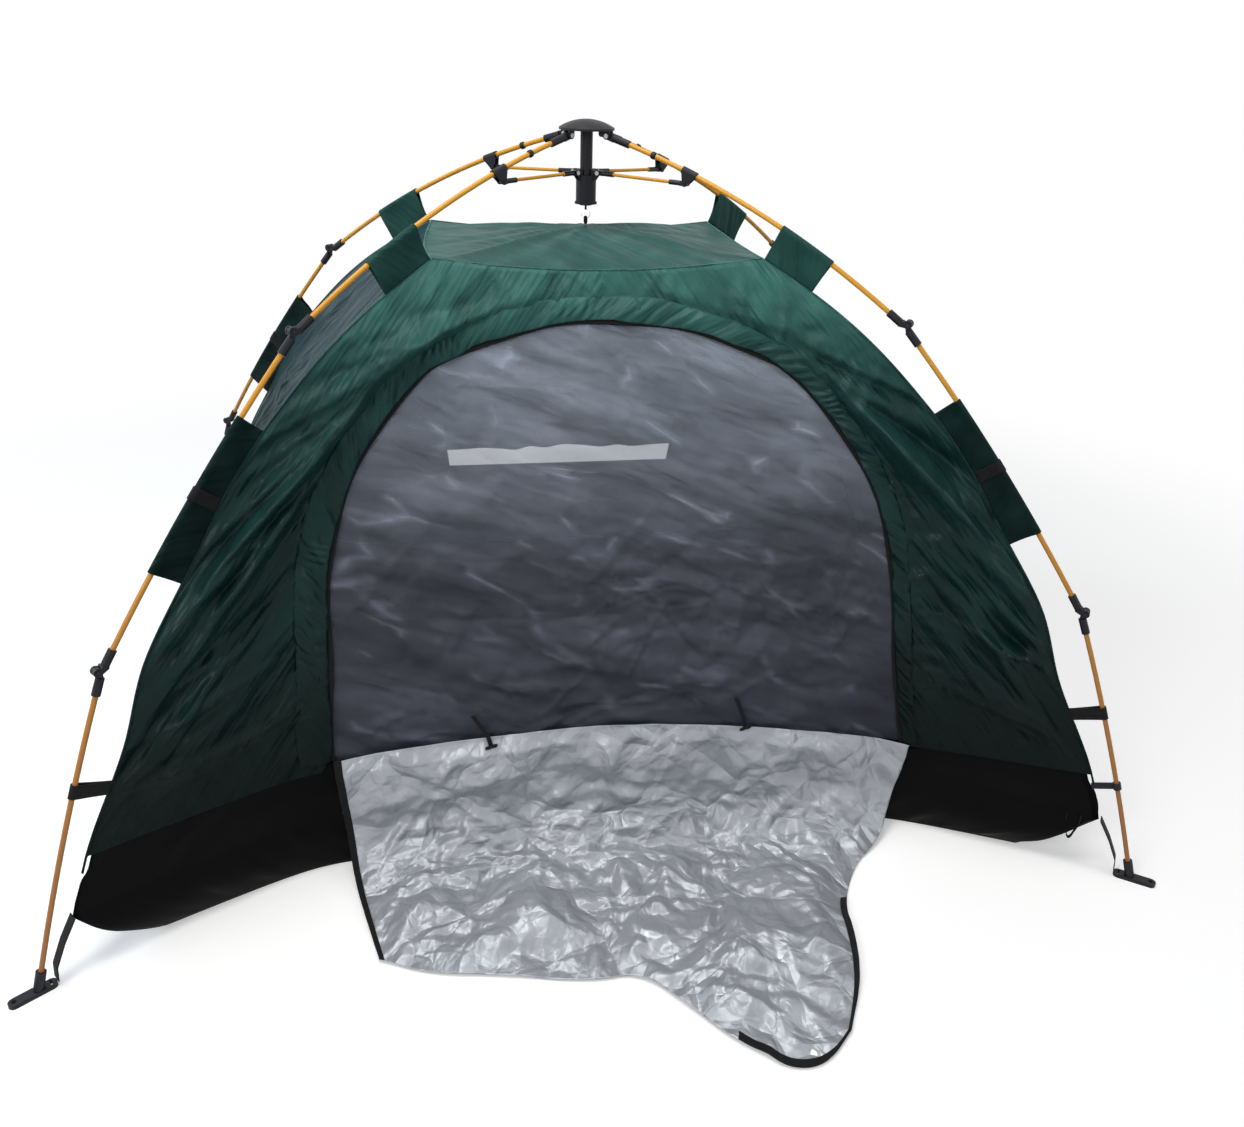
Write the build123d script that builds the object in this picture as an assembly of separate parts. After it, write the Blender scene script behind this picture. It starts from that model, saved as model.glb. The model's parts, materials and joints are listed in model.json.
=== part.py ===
from build123d import *
import math
import os

# Hub-frame dome tent. Origin: ground level under the hub, +X to the right, +Y to the rear, +Z up.
# One pole is drawn in its radial plane (X outwards, Z up, hinge pins along Y), then turned to each corner.

# Frame lay-out
hub_pivot_radius = 48.0
hub_pivot_height = 1375.0
pole_azimuth = 35.9
rod_radius = 4.75

# Poles: slopes are degrees below the horizontal, lengths run along the rod
upper_slope = 16.0
upper_bend = 18.0
upper_length = 705.0
middle_bend = 7.7
middle_length = 652.0
lower_bend = 5.3
knee_bend = 12.5
rod_end_straight = 46.0
lower_knee_cant = 2.5

# Moulded fittings
fit_clearance = 0.05
running_clearance = 0.05
side_clearance = 0.3
socket_radius = 7.5
socket_length = 32.0
socket_floor = 2.0
knee_pin_offset = 8.0
knee_pin_radius = 2.5
knee_lug_radius = 8.0
knee_tongue_radius = 7.5
knee_tongue_width = 7.0
knee_cheek = 4.2
knee_reach = 10.0
knee_web = 1.0
rivet_head_radius = 4.4
rivet_head_height = 1.4

# Hub, shaft and runner
hub_tongue_width = 8.0
hub_cheek = 4.0
hub_lug_radius = 7.0
hub_pin_radius = 2.5
hub_socket_reach = 14.0
hub_socket_length = 36.0
dome_radius = 56.0
dome_rise = 16.0
dome_wall = 4.0
dome_lift = 13.0
dome_boss_wall = 5.0
dome_boss_depth = 5.0
shaft_radius = 12.5
shaft_bore = 10.0
shaft_length = 160.0
hook_wire = 2.2
hook_bend = 9.0
hook_plug_length = 14.0
hook_neck = 9.0
runner_drop = 71.0
runner_pivot_radius = 28.0
runner_travel = 69.0
runner_clearance = 0.3
runner_sleeve_radius = 20.5
runner_sleeve_length = 56.0
runner_flange = 2.5
runner_flange_height = 4.0
runner_cheek = 3.0
runner_lug_radius = 5.2
runner_collar_drop = 10.0
runner_pin_radius = 2.0

# Struts and their brackets
bracket_distance = 189.0
bracket_length = 32.0
bracket_clearance = 0.2
bracket_pin_drop = 21.0
bracket_lug_radius = 5.5
bracket_cheek = 3.4
bracket_pin_radius = 2.2
strut_radius = 3.2
strut_tongue_width = 5.0
strut_tongue_radius = 4.8
strut_socket_radius = 4.8
strut_socket_length = 26.0
strut_socket_reach = 9.0

# Feet
boot_radius = 9.0
boot_length = 46.0
sole_height = 9.0
sole_width = 20.0
toe_length = 38.0
heel_length = 24.0
peg_eye_radius = 4.5

# Canopy and tub, cloth drawn at one wall thickness
cloth = 1.2
cloth_clearance = 0.5
tub_height = 240.0
tub_corner_lift = 125.0
tub_floor_corner = 1085.0
roof_peak_drop = 30.0
roof_corner_drop = 28.0
roof_corner_radius = 390.0
roof_tip_half = 14.0
# height, distance of the corner seam from the pole, front knuckle (x, y) and inward bow of the side wall
canopy_rows = (
    (tub_height, 48.0, 600.0, 490.0, 70.0),
    (420.0, 76.0, 595.0, 470.0, 65.0),
    (570.0, 76.0, 570.0, 447.0, 60.0),
    (690.0, 74.0, 545.0, 425.0, 50.0),
    (920.0, 66.0, 420.0, 345.0, 40.0),
    (1118.0, 124.0, 260.0, 258.0, 14.0),
)
floor_front = 495.0
floor_front_half = 600.0
floor_side = 800.0
floor_side_half = 330.0
tub_flare = 35.0
tub_corner_gap = 44.0
roof_front_half = 190.0

# Front door
sill_height = 258.0
door_sill_half = 598.0
door_leg_half = 566.0
door_leg_top = 600.0
door_hip_half = 492.0
door_hip_height = 830.0
door_shoulder_half = 338.0
door_shoulder_height = 1000.0
door_top_height = 1078.0

# Rear window, a trapezoid with a slit left open under its panel
window_top_half = 330.0
window_bottom_half = 300.0
window_bottom = 500.0
window_height = 320.0
window_slit = 48.0

# Door flap: side view of its folds (distance in front of the sill, height), then its outline on the ground
flap_cloth = 2.4
flap_fold_radius = 17.0
flap_folds = (
    (0.0, 255.0), (14.0, 150.0), (22.0, 62.0), (52.0, 5.0), (96.0, 5.0), (132.0, 34.0), (172.0, 5.0),
    (232.0, 5.0), (282.0, 42.0), (330.0, 5.0), (392.0, 5.0), (432.0, 24.0), (474.0, 5.0), (640.0, 5.0),
)
flap_left_edge = ((-552.0, 0.0), (-520.0, 90.0), (-474.0, 268.0))
flap_hem = ((-300.0, 352.0), (-93.0, 384.0), (60.0, 420.0), (150.0, 540.0))
flap_tip = (235.0, 606.0)
flap_corner = (372.0, 560.0)
flap_right_edge = ((405.0, 440.0), (431.0, 268.0), (560.0, 100.0), (600.0, 0.0))
flap_binding = 14.0

# Sleeves, straps and webbing (distances along the pole from the hub pivot)
sleeve_gap = 1.2
sleeve_overrun = 20.0
seam_overlap = 4.0
upper_sleeve_start = 404.0
upper_sleeve_length = 118.0
lower_sleeve_start = 874.0
lower_sleeve_length = 300.0
sleeve_strap_width = 24.0
lower_strap_distance = 1576.0
lower_strap_width = 26.0
webbing_width = 22.0
webbing_thickness = 1.6
clip_distance = 1746.0
clip_width = 14.0
clip_wall = 3.0

# Small fittings of the inner tent
peak_loop_wire = 1.6
tie_length = 62.0
tie_width = 9.0
tie_toggle_radius = 4.0
tie_left = -246.0
tie_right = 281.0
zip_slider_size = (9.0, 5.0, 15.0)
zip_slider_height = 300.0
zip_pull_length = 26.0
peg_loop_width = 8.0
peg_loop_tape = 2.6
peg_loop_span = 34.0
peg_loop_drop = 62.0

corners = {
    "front_left": 180.0 + pole_azimuth,
    "front_right": 360.0 - pole_azimuth,
    "rear_left": 180.0 - pole_azimuth,
    "rear_right": pole_azimuth,
}


# Geometry helpers in the radial plane


def along(slope):
    a = math.radians(slope)
    return Vector(math.cos(a), 0, -math.sin(a))


def outward(slope):
    a = math.radians(slope)
    return Vector(math.sin(a), 0, math.cos(a))


upright = (Align.CENTER, Align.CENTER, Align.MIN)


def bar(start, direction, length, radius):
    return Plane(origin=start, z_dir=direction) * Cylinder(radius, length, align=upright)


def side_plane(origin, slope):
    return Plane(origin=origin, x_dir=along(slope), z_dir=(0, -1, 0))


def side_plate(plane, sketch, width):
    return extrude(plane * sketch, amount=width / 2, both=True)


def cross_pin(centre, radius, width, head_radius=rivet_head_radius, head_height=rivet_head_height):
    # a pin along Y with a round head at each end
    start = centre - Vector(0, width / 2, 0)
    pin = bar(start, Vector(0, 1, 0), width, radius)
    pin += bar(start - Vector(0, head_height, 0), Vector(0, 1, 0), head_height, head_radius)
    pin += bar(start + Vector(0, width, 0), Vector(0, 1, 0), head_height, head_radius)
    return pin


class Segment:
    # one rod: a straight end, a circular bow that steepens by `bend`, and a straight end
    def __init__(self, start, slope, bend, length):
        self.start = start
        self.slope = slope
        self.bend = bend
        self.length = length
        self.bow = length - 2 * rod_end_straight
        self.radius = self.bow / math.radians(bend)
        self.end = self.at(length)
        self.end_slope = slope + bend

    def slope_at(self, distance):
        bent = min(max(distance - rod_end_straight, 0.0), self.bow)
        return self.slope + math.degrees(bent / self.radius)

    def at(self, distance):
        first = self.start + along(self.slope) * min(distance, rod_end_straight)
        if distance <= rod_end_straight:
            return first
        slope = self.slope_at(distance)
        centre = first - outward(self.slope) * self.radius
        point = centre + outward(slope) * self.radius
        past = distance - rod_end_straight - self.bow
        return point + along(slope) * past if past > 0 else point

    def rod(self, trim_start, trim_end):
        head = self.at(trim_start)
        first = self.at(rod_end_straight)
        middle = self.at(rod_end_straight + self.bow / 2)
        last = self.at(rod_end_straight + self.bow)
        tail = self.at(self.length - trim_end)
        path = Wire([Edge.make_line(head, first), Edge.make_three_point_arc(first, middle, last),
                     Edge.make_line(last, tail)])
        return sweep(Plane(origin=head, z_dir=along(self.slope)) * Circle(rod_radius), path=path)


hub_pivot = Vector(hub_pivot_radius, 0, hub_pivot_height)
upper = Segment(hub_pivot, upper_slope, upper_bend, upper_length)
middle = Segment(upper.end, upper.end_slope + knee_bend, middle_bend, middle_length)


def lower_length_to_ground(start, slope):
    # the lower rod is as long as it takes to stand on the ground
    length = 300.0
    for _ in range(40):
        length += Segment(start, slope, lower_bend, length).end.Z
    return length


lower_slope = middle.end_slope + knee_bend
lower = Segment(middle.end, lower_slope, lower_bend, lower_length_to_ground(middle.end, lower_slope))
pole_segments = (upper, middle, lower)


def pole_at(distance):
    for segment in pole_segments:
        if distance <= segment.length:
            return segment.at(distance), segment.slope_at(distance)
        distance -= segment.length
    return lower.end, lower.end_slope


def pole_radius_at(height):
    low = 0.0
    high = sum(segment.length for segment in pole_segments)
    for _ in range(50):
        guess = (low + high) / 2
        if pole_at(guess)[0].Z > height:
            low = guess
        else:
            high = guess
    return pole_at(low)[0].X


# Knee joints: the pin stands off to the outer side, so the lower rod swings out and up


class Knee:
    def __init__(self, point, slope_in, slope_out, cant):
        self.point = point
        self.slope_in = slope_in
        self.slope_out = slope_out
        self.normal = outward((slope_in + slope_out) / 2)
        self.pin = point + self.normal * knee_pin_offset
        self.cant = cant
        half = math.radians((slope_out - slope_in) / 2)
        self.shift = knee_pin_offset * math.sin(half)
        self.stand = knee_pin_offset * math.cos(half)

    def turned(self, shape):
        if self.cant == 0:
            return shape
        return shape.rotate(Axis(self.pin, self.normal), self.cant)

    def axis(self):
        return Vector(0, 1, 0).rotate(Axis((0, 0, 0), self.normal), self.cant)

    def lug(self, plane, side, radius, width, pin_x):
        web = side * (knee_reach + socket_floor)
        outline = Polygon((web, -socket_radius + knee_web), (web, socket_radius - knee_web),
                          (pin_x, self.stand), (pin_x, self.stand - radius), align=None)
        outline += Pos(pin_x, self.stand) * Circle(radius)
        return side_plate(plane, outline, width)

    def socket(self, slope, side):
        direction = along(slope) * side
        face = self.point + direction * knee_reach
        sleeve = bar(face, direction, socket_length, socket_radius)
        bore = bar(face + direction * socket_floor, direction, socket_length, rod_radius + fit_clearance)
        return sleeve, bore

    def fork(self):
        plane = side_plane(self.point, self.slope_in)
        width = knee_tongue_width + 2 * side_clearance + 2 * knee_cheek
        cheeks = self.lug(plane, -1, knee_lug_radius, width, self.shift)
        slot_length = 2 * (knee_lug_radius + knee_reach) - 2
        slot_outline = Pos(knee_lug_radius, self.stand) * Rectangle(slot_length, 6 * knee_lug_radius)
        slot = side_plate(plane, slot_outline, knee_tongue_width + 2 * side_clearance)
        sleeve, bore = self.socket(self.slope_in, -1)
        hole = cross_pin(self.pin, knee_pin_radius + fit_clearance, width)
        return sleeve + self.turned(cheeks - slot) - self.turned(hole) - bore

    def tongue(self):
        plane = side_plane(self.point, self.slope_out)
        blade = self.lug(plane, 1, knee_tongue_radius, knee_tongue_width, -self.shift)
        sleeve, bore = self.socket(self.slope_out, 1)
        hole = bar(self.pin - Vector(0, knee_tongue_width, 0), Vector(0, 1, 0), 2 * knee_tongue_width,
                   knee_pin_radius + running_clearance)
        return sleeve + self.turned(blade - hole) - bore

    def rivet(self):
        width = knee_tongue_width + 2 * side_clearance + 2 * knee_cheek
        return self.turned(cross_pin(self.pin, knee_pin_radius, width + 2 * fit_clearance))


upper_knee = Knee(upper.end, upper.end_slope, middle.slope, 0.0)
lower_knee = Knee(middle.end, middle.end_slope, lower.slope, lower_knee_cant)
knee_trim = knee_reach + socket_floor + fit_clearance


# Upper section of a pole: rod, hub socket, strut bracket and knee fork


def hub_socket():
    plane = side_plane(hub_pivot, upper_slope)
    reach = hub_socket_reach + socket_floor
    blade = Polygon((0, -hub_lug_radius), (0, hub_lug_radius), (reach, socket_radius), (reach, -socket_radius),
                    align=None)
    blade += Circle(hub_lug_radius)
    direction = along(upper_slope)
    face = hub_pivot + direction * hub_socket_reach
    socket = side_plate(plane, blade, hub_tongue_width)
    socket -= bar(hub_pivot - Vector(0, hub_tongue_width, 0), Vector(0, 1, 0), 2 * hub_tongue_width,
                  hub_pin_radius + running_clearance)
    socket += bar(face, direction, hub_socket_length, socket_radius)
    floor = face + direction * socket_floor
    return socket - bar(floor, direction, hub_socket_length, rod_radius + fit_clearance)


bracket_point = upper.at(bracket_distance)
bracket_slope = upper.slope_at(bracket_distance)
bracket_pin = bracket_point - outward(bracket_slope) * bracket_pin_drop


def strut_bracket():
    plane = side_plane(bracket_point, bracket_slope)
    slot = 2 * (strut_socket_radius + side_clearance)
    width = slot + 2 * bracket_cheek
    half = bracket_length / 2
    cheek = Polygon((-half, 0), (half, 0), (bracket_lug_radius, -bracket_pin_drop),
                    (-bracket_lug_radius, -bracket_pin_drop), align=None)
    cheek += Pos(0, -bracket_pin_drop) * Circle(bracket_lug_radius)
    cheeks = side_plate(plane, cheek, width)
    gap_height = 3 * bracket_pin_drop
    gap = Pos(0, -socket_radius - gap_height / 2) * Rectangle(2 * bracket_length, gap_height)
    cheeks -= side_plate(plane, gap, slot)
    heading = along(bracket_slope)
    start = bracket_point - heading * half
    body = cheeks + bar(start, heading, bracket_length, socket_radius)
    body -= bar(start - heading, heading, bracket_length + 2, rod_radius + bracket_clearance)
    stub = Vector(0, slot / 2 + bracket_cheek, 0)
    for side in (-1, 1):
        body += bar(bracket_pin + stub * side, Vector(0, side, 0), rivet_head_height, bracket_pin_radius + 1)
    return body


def upper_rod():
    return upper.rod(hub_socket_reach + socket_floor + fit_clearance, knee_trim)


# Feet


foot_point = lower.end
foot_axis = along(lower.end_slope)


def foot():
    top = foot_point - foot_axis * boot_length
    boot = bar(top, foot_axis, boot_length, boot_radius)
    sole = SlotCenterToCenter(toe_length + heel_length, sole_width)
    middle_x = foot_point.X + (toe_length - heel_length) / 2
    plate = extrude(Pos(middle_x, 0, 0) * sole, amount=sole_height)
    body = boot + plate
    above = 2 * (boot_length + toe_length + heel_length)
    body &= Pos(foot_point.X, 0, 0) * Box(above, above, above, align=upright)
    body -= bar(top - foot_axis, foot_axis, boot_length - 2 * sole_height + 1, rod_radius + fit_clearance)
    body -= Pos(foot_point.X + toe_length, 0, sole_height / 2) * Cylinder(peg_eye_radius, 2 * sole_height)
    slit = Box(4, sole_width - 8, 3 * sole_height)
    body -= Pos(foot_point.X - heel_length, 0, sole_height / 2) * slit
    return body


def lower_rod():
    return lower.rod(knee_trim, 2 * sole_height + fit_clearance)


# Strut between runner and bracket


runner_pivot = Vector(runner_pivot_radius, 0, hub_pivot_height - runner_drop)
strut_vector = bracket_pin - runner_pivot
strut_slope = math.degrees(math.atan2(-strut_vector.Z, strut_vector.X))


def strut_end(pivot, side, pin_radius, width):
    direction = along(strut_slope) * side
    plane = side_plane(pivot, strut_slope)
    reach = side * (strut_socket_reach + socket_floor)
    blade = Polygon((0, -strut_tongue_radius), (0, strut_tongue_radius), (reach, strut_tongue_radius),
                    (reach, -strut_tongue_radius), align=None)
    blade += Circle(strut_tongue_radius)
    face = pivot + direction * strut_socket_reach
    end = side_plate(plane, blade, width)
    end += bar(face, direction, strut_socket_length, strut_socket_radius)
    end -= bar(face + direction * socket_floor, direction, strut_socket_length, strut_radius + fit_clearance)
    return end - bar(pivot - Vector(0, width, 0), Vector(0, 1, 0), 2 * width, pin_radius)


def strut_parts():
    trim = strut_socket_reach + socket_floor + fit_clearance
    direction = along(strut_slope)
    rod = bar(runner_pivot + direction * trim, direction, strut_vector.length - 2 * trim, strut_radius)
    inner = strut_end(runner_pivot, 1, runner_pin_radius + running_clearance, strut_tongue_width)
    outer = strut_end(bracket_pin, -1, bracket_pin_radius, 2 * strut_socket_radius)
    return [rod, inner, outer]


# Hub, shaft, hook and runner


def around(shapes):
    # the same shapes at each of the four corners
    return [shape.rotate(Axis.Z, azimuth) for azimuth in corners.values() for shape in shapes]


def fused(base, shapes):
    for shape in shapes:
        base = base + shape
    return base


dome_rim_height = hub_pivot_height + dome_lift
dome_top = dome_rim_height + dome_rise


def hub_dome():
    radius = (dome_radius ** 2 + dome_rise ** 2) / (2 * dome_rise)
    cap = Pos(0, 0, dome_top - radius) * Sphere(radius)
    inner = Pos(0, 0, dome_top - radius) * Sphere(radius - dome_wall)
    shell = cap - inner
    shell &= Pos(0, 0, dome_rim_height - dome_wall) * Cylinder(
        dome_radius, dome_rise + 2 * dome_wall, align=upright)
    boss_floor = dome_top - dome_wall - dome_boss_depth
    boss = Pos(0, 0, boss_floor) * Cylinder(
        shaft_radius + dome_boss_wall, dome_boss_depth + 1, align=upright)
    width = hub_tongue_width + 2 * side_clearance + 2 * hub_cheek
    lug = Pos(hub_pivot_radius, hub_pivot_height) * Circle(hub_lug_radius)
    lug += Pos(hub_pivot_radius, hub_pivot_height) * Rectangle(
        2 * hub_lug_radius, dome_lift, align=(Align.CENTER, Align.MIN))
    flat = Plane(origin=(0, 0, 0), x_dir=(1, 0, 0), z_dir=(0, -1, 0))
    cheeks = side_plate(flat, lug, width) - side_plate(flat, lug, hub_tongue_width + 2 * side_clearance)
    hole = cross_pin(hub_pivot, hub_pin_radius + fit_clearance, width)
    cheeks -= hole
    dome = fused(shell + boss, around([cheeks]))
    return dome - Pos(0, 0, boss_floor - 1) * Cylinder(
        shaft_radius + fit_clearance, dome_boss_depth + 1, align=upright)


def hub_pins():
    width = hub_tongue_width + 2 * side_clearance + 2 * hub_cheek
    return around([cross_pin(hub_pivot, hub_pin_radius, width + 2 * fit_clearance)])


shaft_top = dome_top - dome_wall
shaft_end = shaft_top - shaft_length


def centre_shaft():
    tube = Cylinder(shaft_radius, shaft_length) - Cylinder(shaft_bore, shaft_length)
    return Pos(0, 0, (shaft_top + shaft_end) / 2) * tube


hook_centre = Vector(0, 0, shaft_end - hook_neck - hook_bend)


def peak_hook():
    plug = Pos(0, 0, shaft_end) * Cylinder(
        shaft_bore - fit_clearance, hook_plug_length, align=upright)
    top = Vector(0, 0, shaft_end)
    neck = Vector(0, 0, shaft_end - hook_neck)
    root = top + Vector(0, 0, hook_wire)
    side = Vector(hook_bend, 0, 0)
    down = Vector(0, 0, hook_bend)
    belly = hook_centre - down
    path = Wire([Edge.make_line(root, neck),
                 Edge.make_three_point_arc(neck, hook_centre + side, belly),
                 Edge.make_three_point_arc(belly, hook_centre - (side + down) * math.sqrt(0.5), hook_centre - side)])
    return plug + sweep(Plane(origin=root, z_dir=(0, 0, -1)) * Circle(hook_wire), path=path)


def runner():
    bore = shaft_radius + runner_clearance
    top = runner_pivot.Z - runner_lug_radius
    body = Pos(0, 0, top) * Cylinder(
        runner_sleeve_radius, runner_sleeve_length, align=(Align.CENTER, Align.CENTER, Align.MAX))
    body += Pos(0, 0, top - runner_sleeve_length) * Cylinder(
        runner_sleeve_radius + runner_flange, runner_flange_height, align=upright)
    slot = strut_tongue_width + 2 * side_clearance
    width = slot + 2 * runner_cheek
    flat = Plane(origin=(0, 0, 0), x_dir=(1, 0, 0), z_dir=(0, -1, 0))
    inner = bore + 1.0
    lug = Pos(runner_pivot_radius, runner_pivot.Z) * Circle(runner_lug_radius)
    lug_top = runner_pivot.Z + runner_lug_radius
    collar = top - runner_collar_drop
    lug += Polygon((inner, lug_top), (runner_pivot_radius, lug_top), (runner_pivot_radius, top),
                   (runner_sleeve_radius, collar), (inner, collar), align=None)
    cheeks = side_plate(flat, lug, width)
    notch = Pos(runner_sleeve_radius + 2 * runner_lug_radius, runner_pivot.Z) * Rectangle(
        4 * runner_lug_radius, 4 * runner_lug_radius)
    cheeks -= side_plate(flat, notch, slot)
    hole = cross_pin(runner_pivot, runner_pin_radius + fit_clearance, width, runner_lug_radius - 1)
    body = fused(body, around([cheeks]))
    for shape in around([hole]):
        body = body - shape
    return body - Pos(0, 0, top) * Cylinder(bore, 4 * runner_sleeve_length)


def runner_pins():
    width = strut_tongue_width + 2 * side_clearance + 2 * runner_cheek
    return around([cross_pin(runner_pivot, runner_pin_radius, width + 2 * fit_clearance, runner_lug_radius - 1)])


# Canopy shell: twelve-sided rings joined by straight rulings, cut into wall panels along the corner seams


azimuth_cos = math.cos(math.radians(pole_azimuth))
azimuth_sin = math.sin(math.radians(pole_azimuth))
roof_peak = shaft_end - hook_neck - hook_bend - roof_peak_drop + hook_bend
roof_corner_height = roof_peak - roof_corner_drop


def ring(height, corner, front_half, front, side, side_half, inset):
    corner_x = corner * azimuth_cos - inset
    corner_y = corner * azimuth_sin - inset
    quarter = [(front_half, front - inset), (corner_x, corner_y), (side - inset, side_half)]
    points = [(x, -y) for x, y in quarter]
    points += [(x, y) for x, y in reversed(quarter)]
    points += [(-x, y) for x, y in quarter]
    points += [(-x, -y) for x, y in reversed(quarter)]
    return Pos(0, 0, height) * make_face(Polyline(*points, close=True).edges())


def canopy_ring(row, inset):
    height, gap, front_half, front, bow = row
    corner = pole_radius_at(height) - gap
    return ring(height, corner, front_half, front, corner * azimuth_cos - bow, corner * azimuth_sin / 2, inset)


def roof_ring(height, inset):
    return ring(height, roof_corner_radius, roof_front_half, roof_corner_radius * azimuth_sin - 1,
                roof_corner_radius * azimuth_cos - 1, roof_corner_radius * azimuth_sin / 2, inset)


def wall_loft(inset):
    rings = [canopy_ring(row, inset) for row in canopy_rows]
    return loft(rings + [roof_ring(roof_corner_height, inset)], ruled=True)


def wedge(first, second):
    reach = 4 * roof_corner_radius
    a = Vector(reach, 0, 0).rotate(Axis.Z, corners[first])
    b = Vector(reach, 0, 0).rotate(Axis.Z, corners[second])
    outline = make_face(Polyline((0, 0), (a.X, a.Y), (b.X, b.Y), close=True).edges())
    return extrude(outline, amount=hub_pivot_height)


def tub_corner(height):
    return pole_radius_at(height) - tub_corner_gap


def tub_loft(inset, floor):
    lifted = tub_corner(tub_corner_lift)
    base = ring(floor, tub_floor_corner, floor_front_half, floor_front, floor_side, floor_side_half, inset)
    middle_ring = ring(tub_corner_lift, lifted, floor_front_half, floor_front - 1, floor_side + tub_flare,
                       floor_side_half, inset)
    top = canopy_ring((tub_height - cloth_clearance,) + canopy_rows[0][1:], inset)
    return loft([base, middle_ring, top], ruled=True)


def floor_tub():
    return tub_loft(0, 0) - tub_loft(cloth, cloth)


def door_outline(shrink=0.0):
    right = [(door_sill_half - shrink, sill_height + shrink), (door_leg_half - shrink, door_leg_top)]
    shoulder = (door_shoulder_half - shrink, door_shoulder_height - shrink)
    hip = (door_hip_half - shrink, door_hip_height - shrink)

    def flip(point):
        return (-point[0], point[1])

    edges = Polyline(right[0], right[1]).edges()
    edges += ThreePointArc(right[1], hip, shoulder).edges()
    edges += ThreePointArc(shoulder, (0, door_top_height - shrink), flip(shoulder)).edges()
    edges += ThreePointArc(flip(shoulder), flip(hip), flip(right[1])).edges()
    edges += Polyline(flip(right[1]), flip(right[0]), right[0]).edges()
    return make_face(edges)


def standing_prism(face, near, far):
    # a shape drawn in X and Z, carried along Y from near to far
    plane = Plane(origin=(0, far, 0), x_dir=(1, 0, 0), z_dir=(0, -1, 0))
    return extrude(plane * face, amount=far - near, dir=(0, -1, 0))


def window_outline(bottom, top):
    slope = (window_top_half - window_bottom_half) / window_height
    low = window_bottom_half + slope * (bottom - window_bottom)
    high = window_bottom_half + slope * (top - window_bottom)
    return make_face(Polyline((-low, bottom), (low, bottom), (high, top), (-high, top), close=True).edges())


canopy_shell = wall_loft(0) - wall_loft(cloth)
front_panel = canopy_shell & wedge("front_left", "front_right")
rear_panel = canopy_shell & wedge("rear_right", "rear_left")
left_panel = canopy_shell & wedge("rear_left", "front_left")
right_panel = canopy_shell & wedge("front_right", "rear_right")
front_reach = floor_front + tub_floor_corner
door_hole = standing_prism(door_outline(), -front_reach, 0)
window_top = window_bottom + window_height
window_hole = standing_prism(window_outline(window_bottom, window_top), 0, front_reach)
window_panel_outline = offset(window_outline(window_bottom + window_slit, window_top), amount=-cloth_clearance)
window_panel_cut = standing_prism(window_panel_outline, 0, front_reach)


def roof():
    def pyramid(drop):
        base = roof_ring(roof_corner_height - drop, 0)
        tip = ring(roof_peak - drop, roof_tip_half, roof_tip_half / 3, roof_tip_half / 2, roof_tip_half / 2,
                   roof_tip_half / 3, 0)
        return loft([base, tip], ruled=True)

    return Pos(0, 0, cloth_clearance) * (pyramid(0) - pyramid(cloth))


def peak_loop():
    # a ring of tape that stands on the roof tip and hangs on the hook
    top = hook_centre.Z - hook_bend + hook_wire + cloth_clearance + 2 * peak_loop_wire
    bottom = roof_peak + 2 * cloth_clearance
    radius = (top - bottom) / 2 - peak_loop_wire
    centre = Vector(0, 0, (top + bottom) / 2)
    return Plane(origin=centre, x_dir=(0, 1, 0), z_dir=(1, 0, 0)) * Torus(radius, peak_loop_wire)


def front_at(height, out=0.0):
    # how far forward the front wall stands just above the sill: flat in its middle, then out to the corner seam
    share = (height - canopy_rows[0][0]) / (canopy_rows[1][0] - canopy_rows[0][0])
    (low_seam, low_half, low_front), (high_seam, high_half, high_front) = [
        (pole_radius_at(row[0]) - row[1], row[2], row[3]) for row in canopy_rows[:2]]
    seam = low_seam + share * (high_seam - low_seam)
    half = low_half + share * (high_half - low_half)
    front = low_front + share * (high_front - low_front)
    past = max(0.0, out - half) / (seam * azimuth_cos - half)
    return front + past * (seam * azimuth_sin - front)


front_rise = canopy_rows[1][0] - canopy_rows[0][0]
front_lean = math.degrees(math.atan2(canopy_rows[0][3] - canopy_rows[1][3], front_rise))


# Door flap: a folded ribbon, cut to its outline on the ground


flap_start = front_at(flap_folds[0][1]) + cloth_clearance + flap_cloth / 2


def flap_ribbon():
    points = [Vector(0, -flap_start - out, height) for out, height in flap_folds]
    path = FilletPolyline(*points, radius=flap_fold_radius)
    heading = points[1] - points[0]
    return sweep(Plane(origin=points[0], x_dir=(1, 0, 0), z_dir=heading) * Rectangle(
        4 * door_sill_half, flap_cloth), path=path)


def flap_outline():
    def ground(point):
        return (point[0], -flap_start - point[1])

    back = floor_front / 2
    left = [(flap_left_edge[0][0], -back)] + [ground(p) for p in flap_left_edge[1:]]
    hem = [ground(p) for p in flap_hem]
    right = [ground(p) for p in flap_right_edge[:-1]] + [(flap_right_edge[-1][0], -back)]
    edges = Polyline(*left, *hem).edges()
    edges += ThreePointArc(hem[-1], ground(flap_tip), ground(flap_corner)).edges()
    edges += Polyline(ground(flap_corner), *right, left[0]).edges()
    return make_face(edges)


flap_cut = flap_outline()
flap_inner_cut = offset(flap_cut, amount=-flap_binding, kind=Kind.INTERSECTION)
flap_solid = flap_ribbon()


def door_flap():
    return flap_solid & extrude(flap_inner_cut, amount=2 * sill_height)


def door_flap_binding():
    rim = extrude(flap_cut, amount=2 * sill_height) - extrude(flap_inner_cut, amount=2 * sill_height)
    return flap_solid & rim


# Sleeves, straps and webbing that hang the inner tent from the poles


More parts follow.
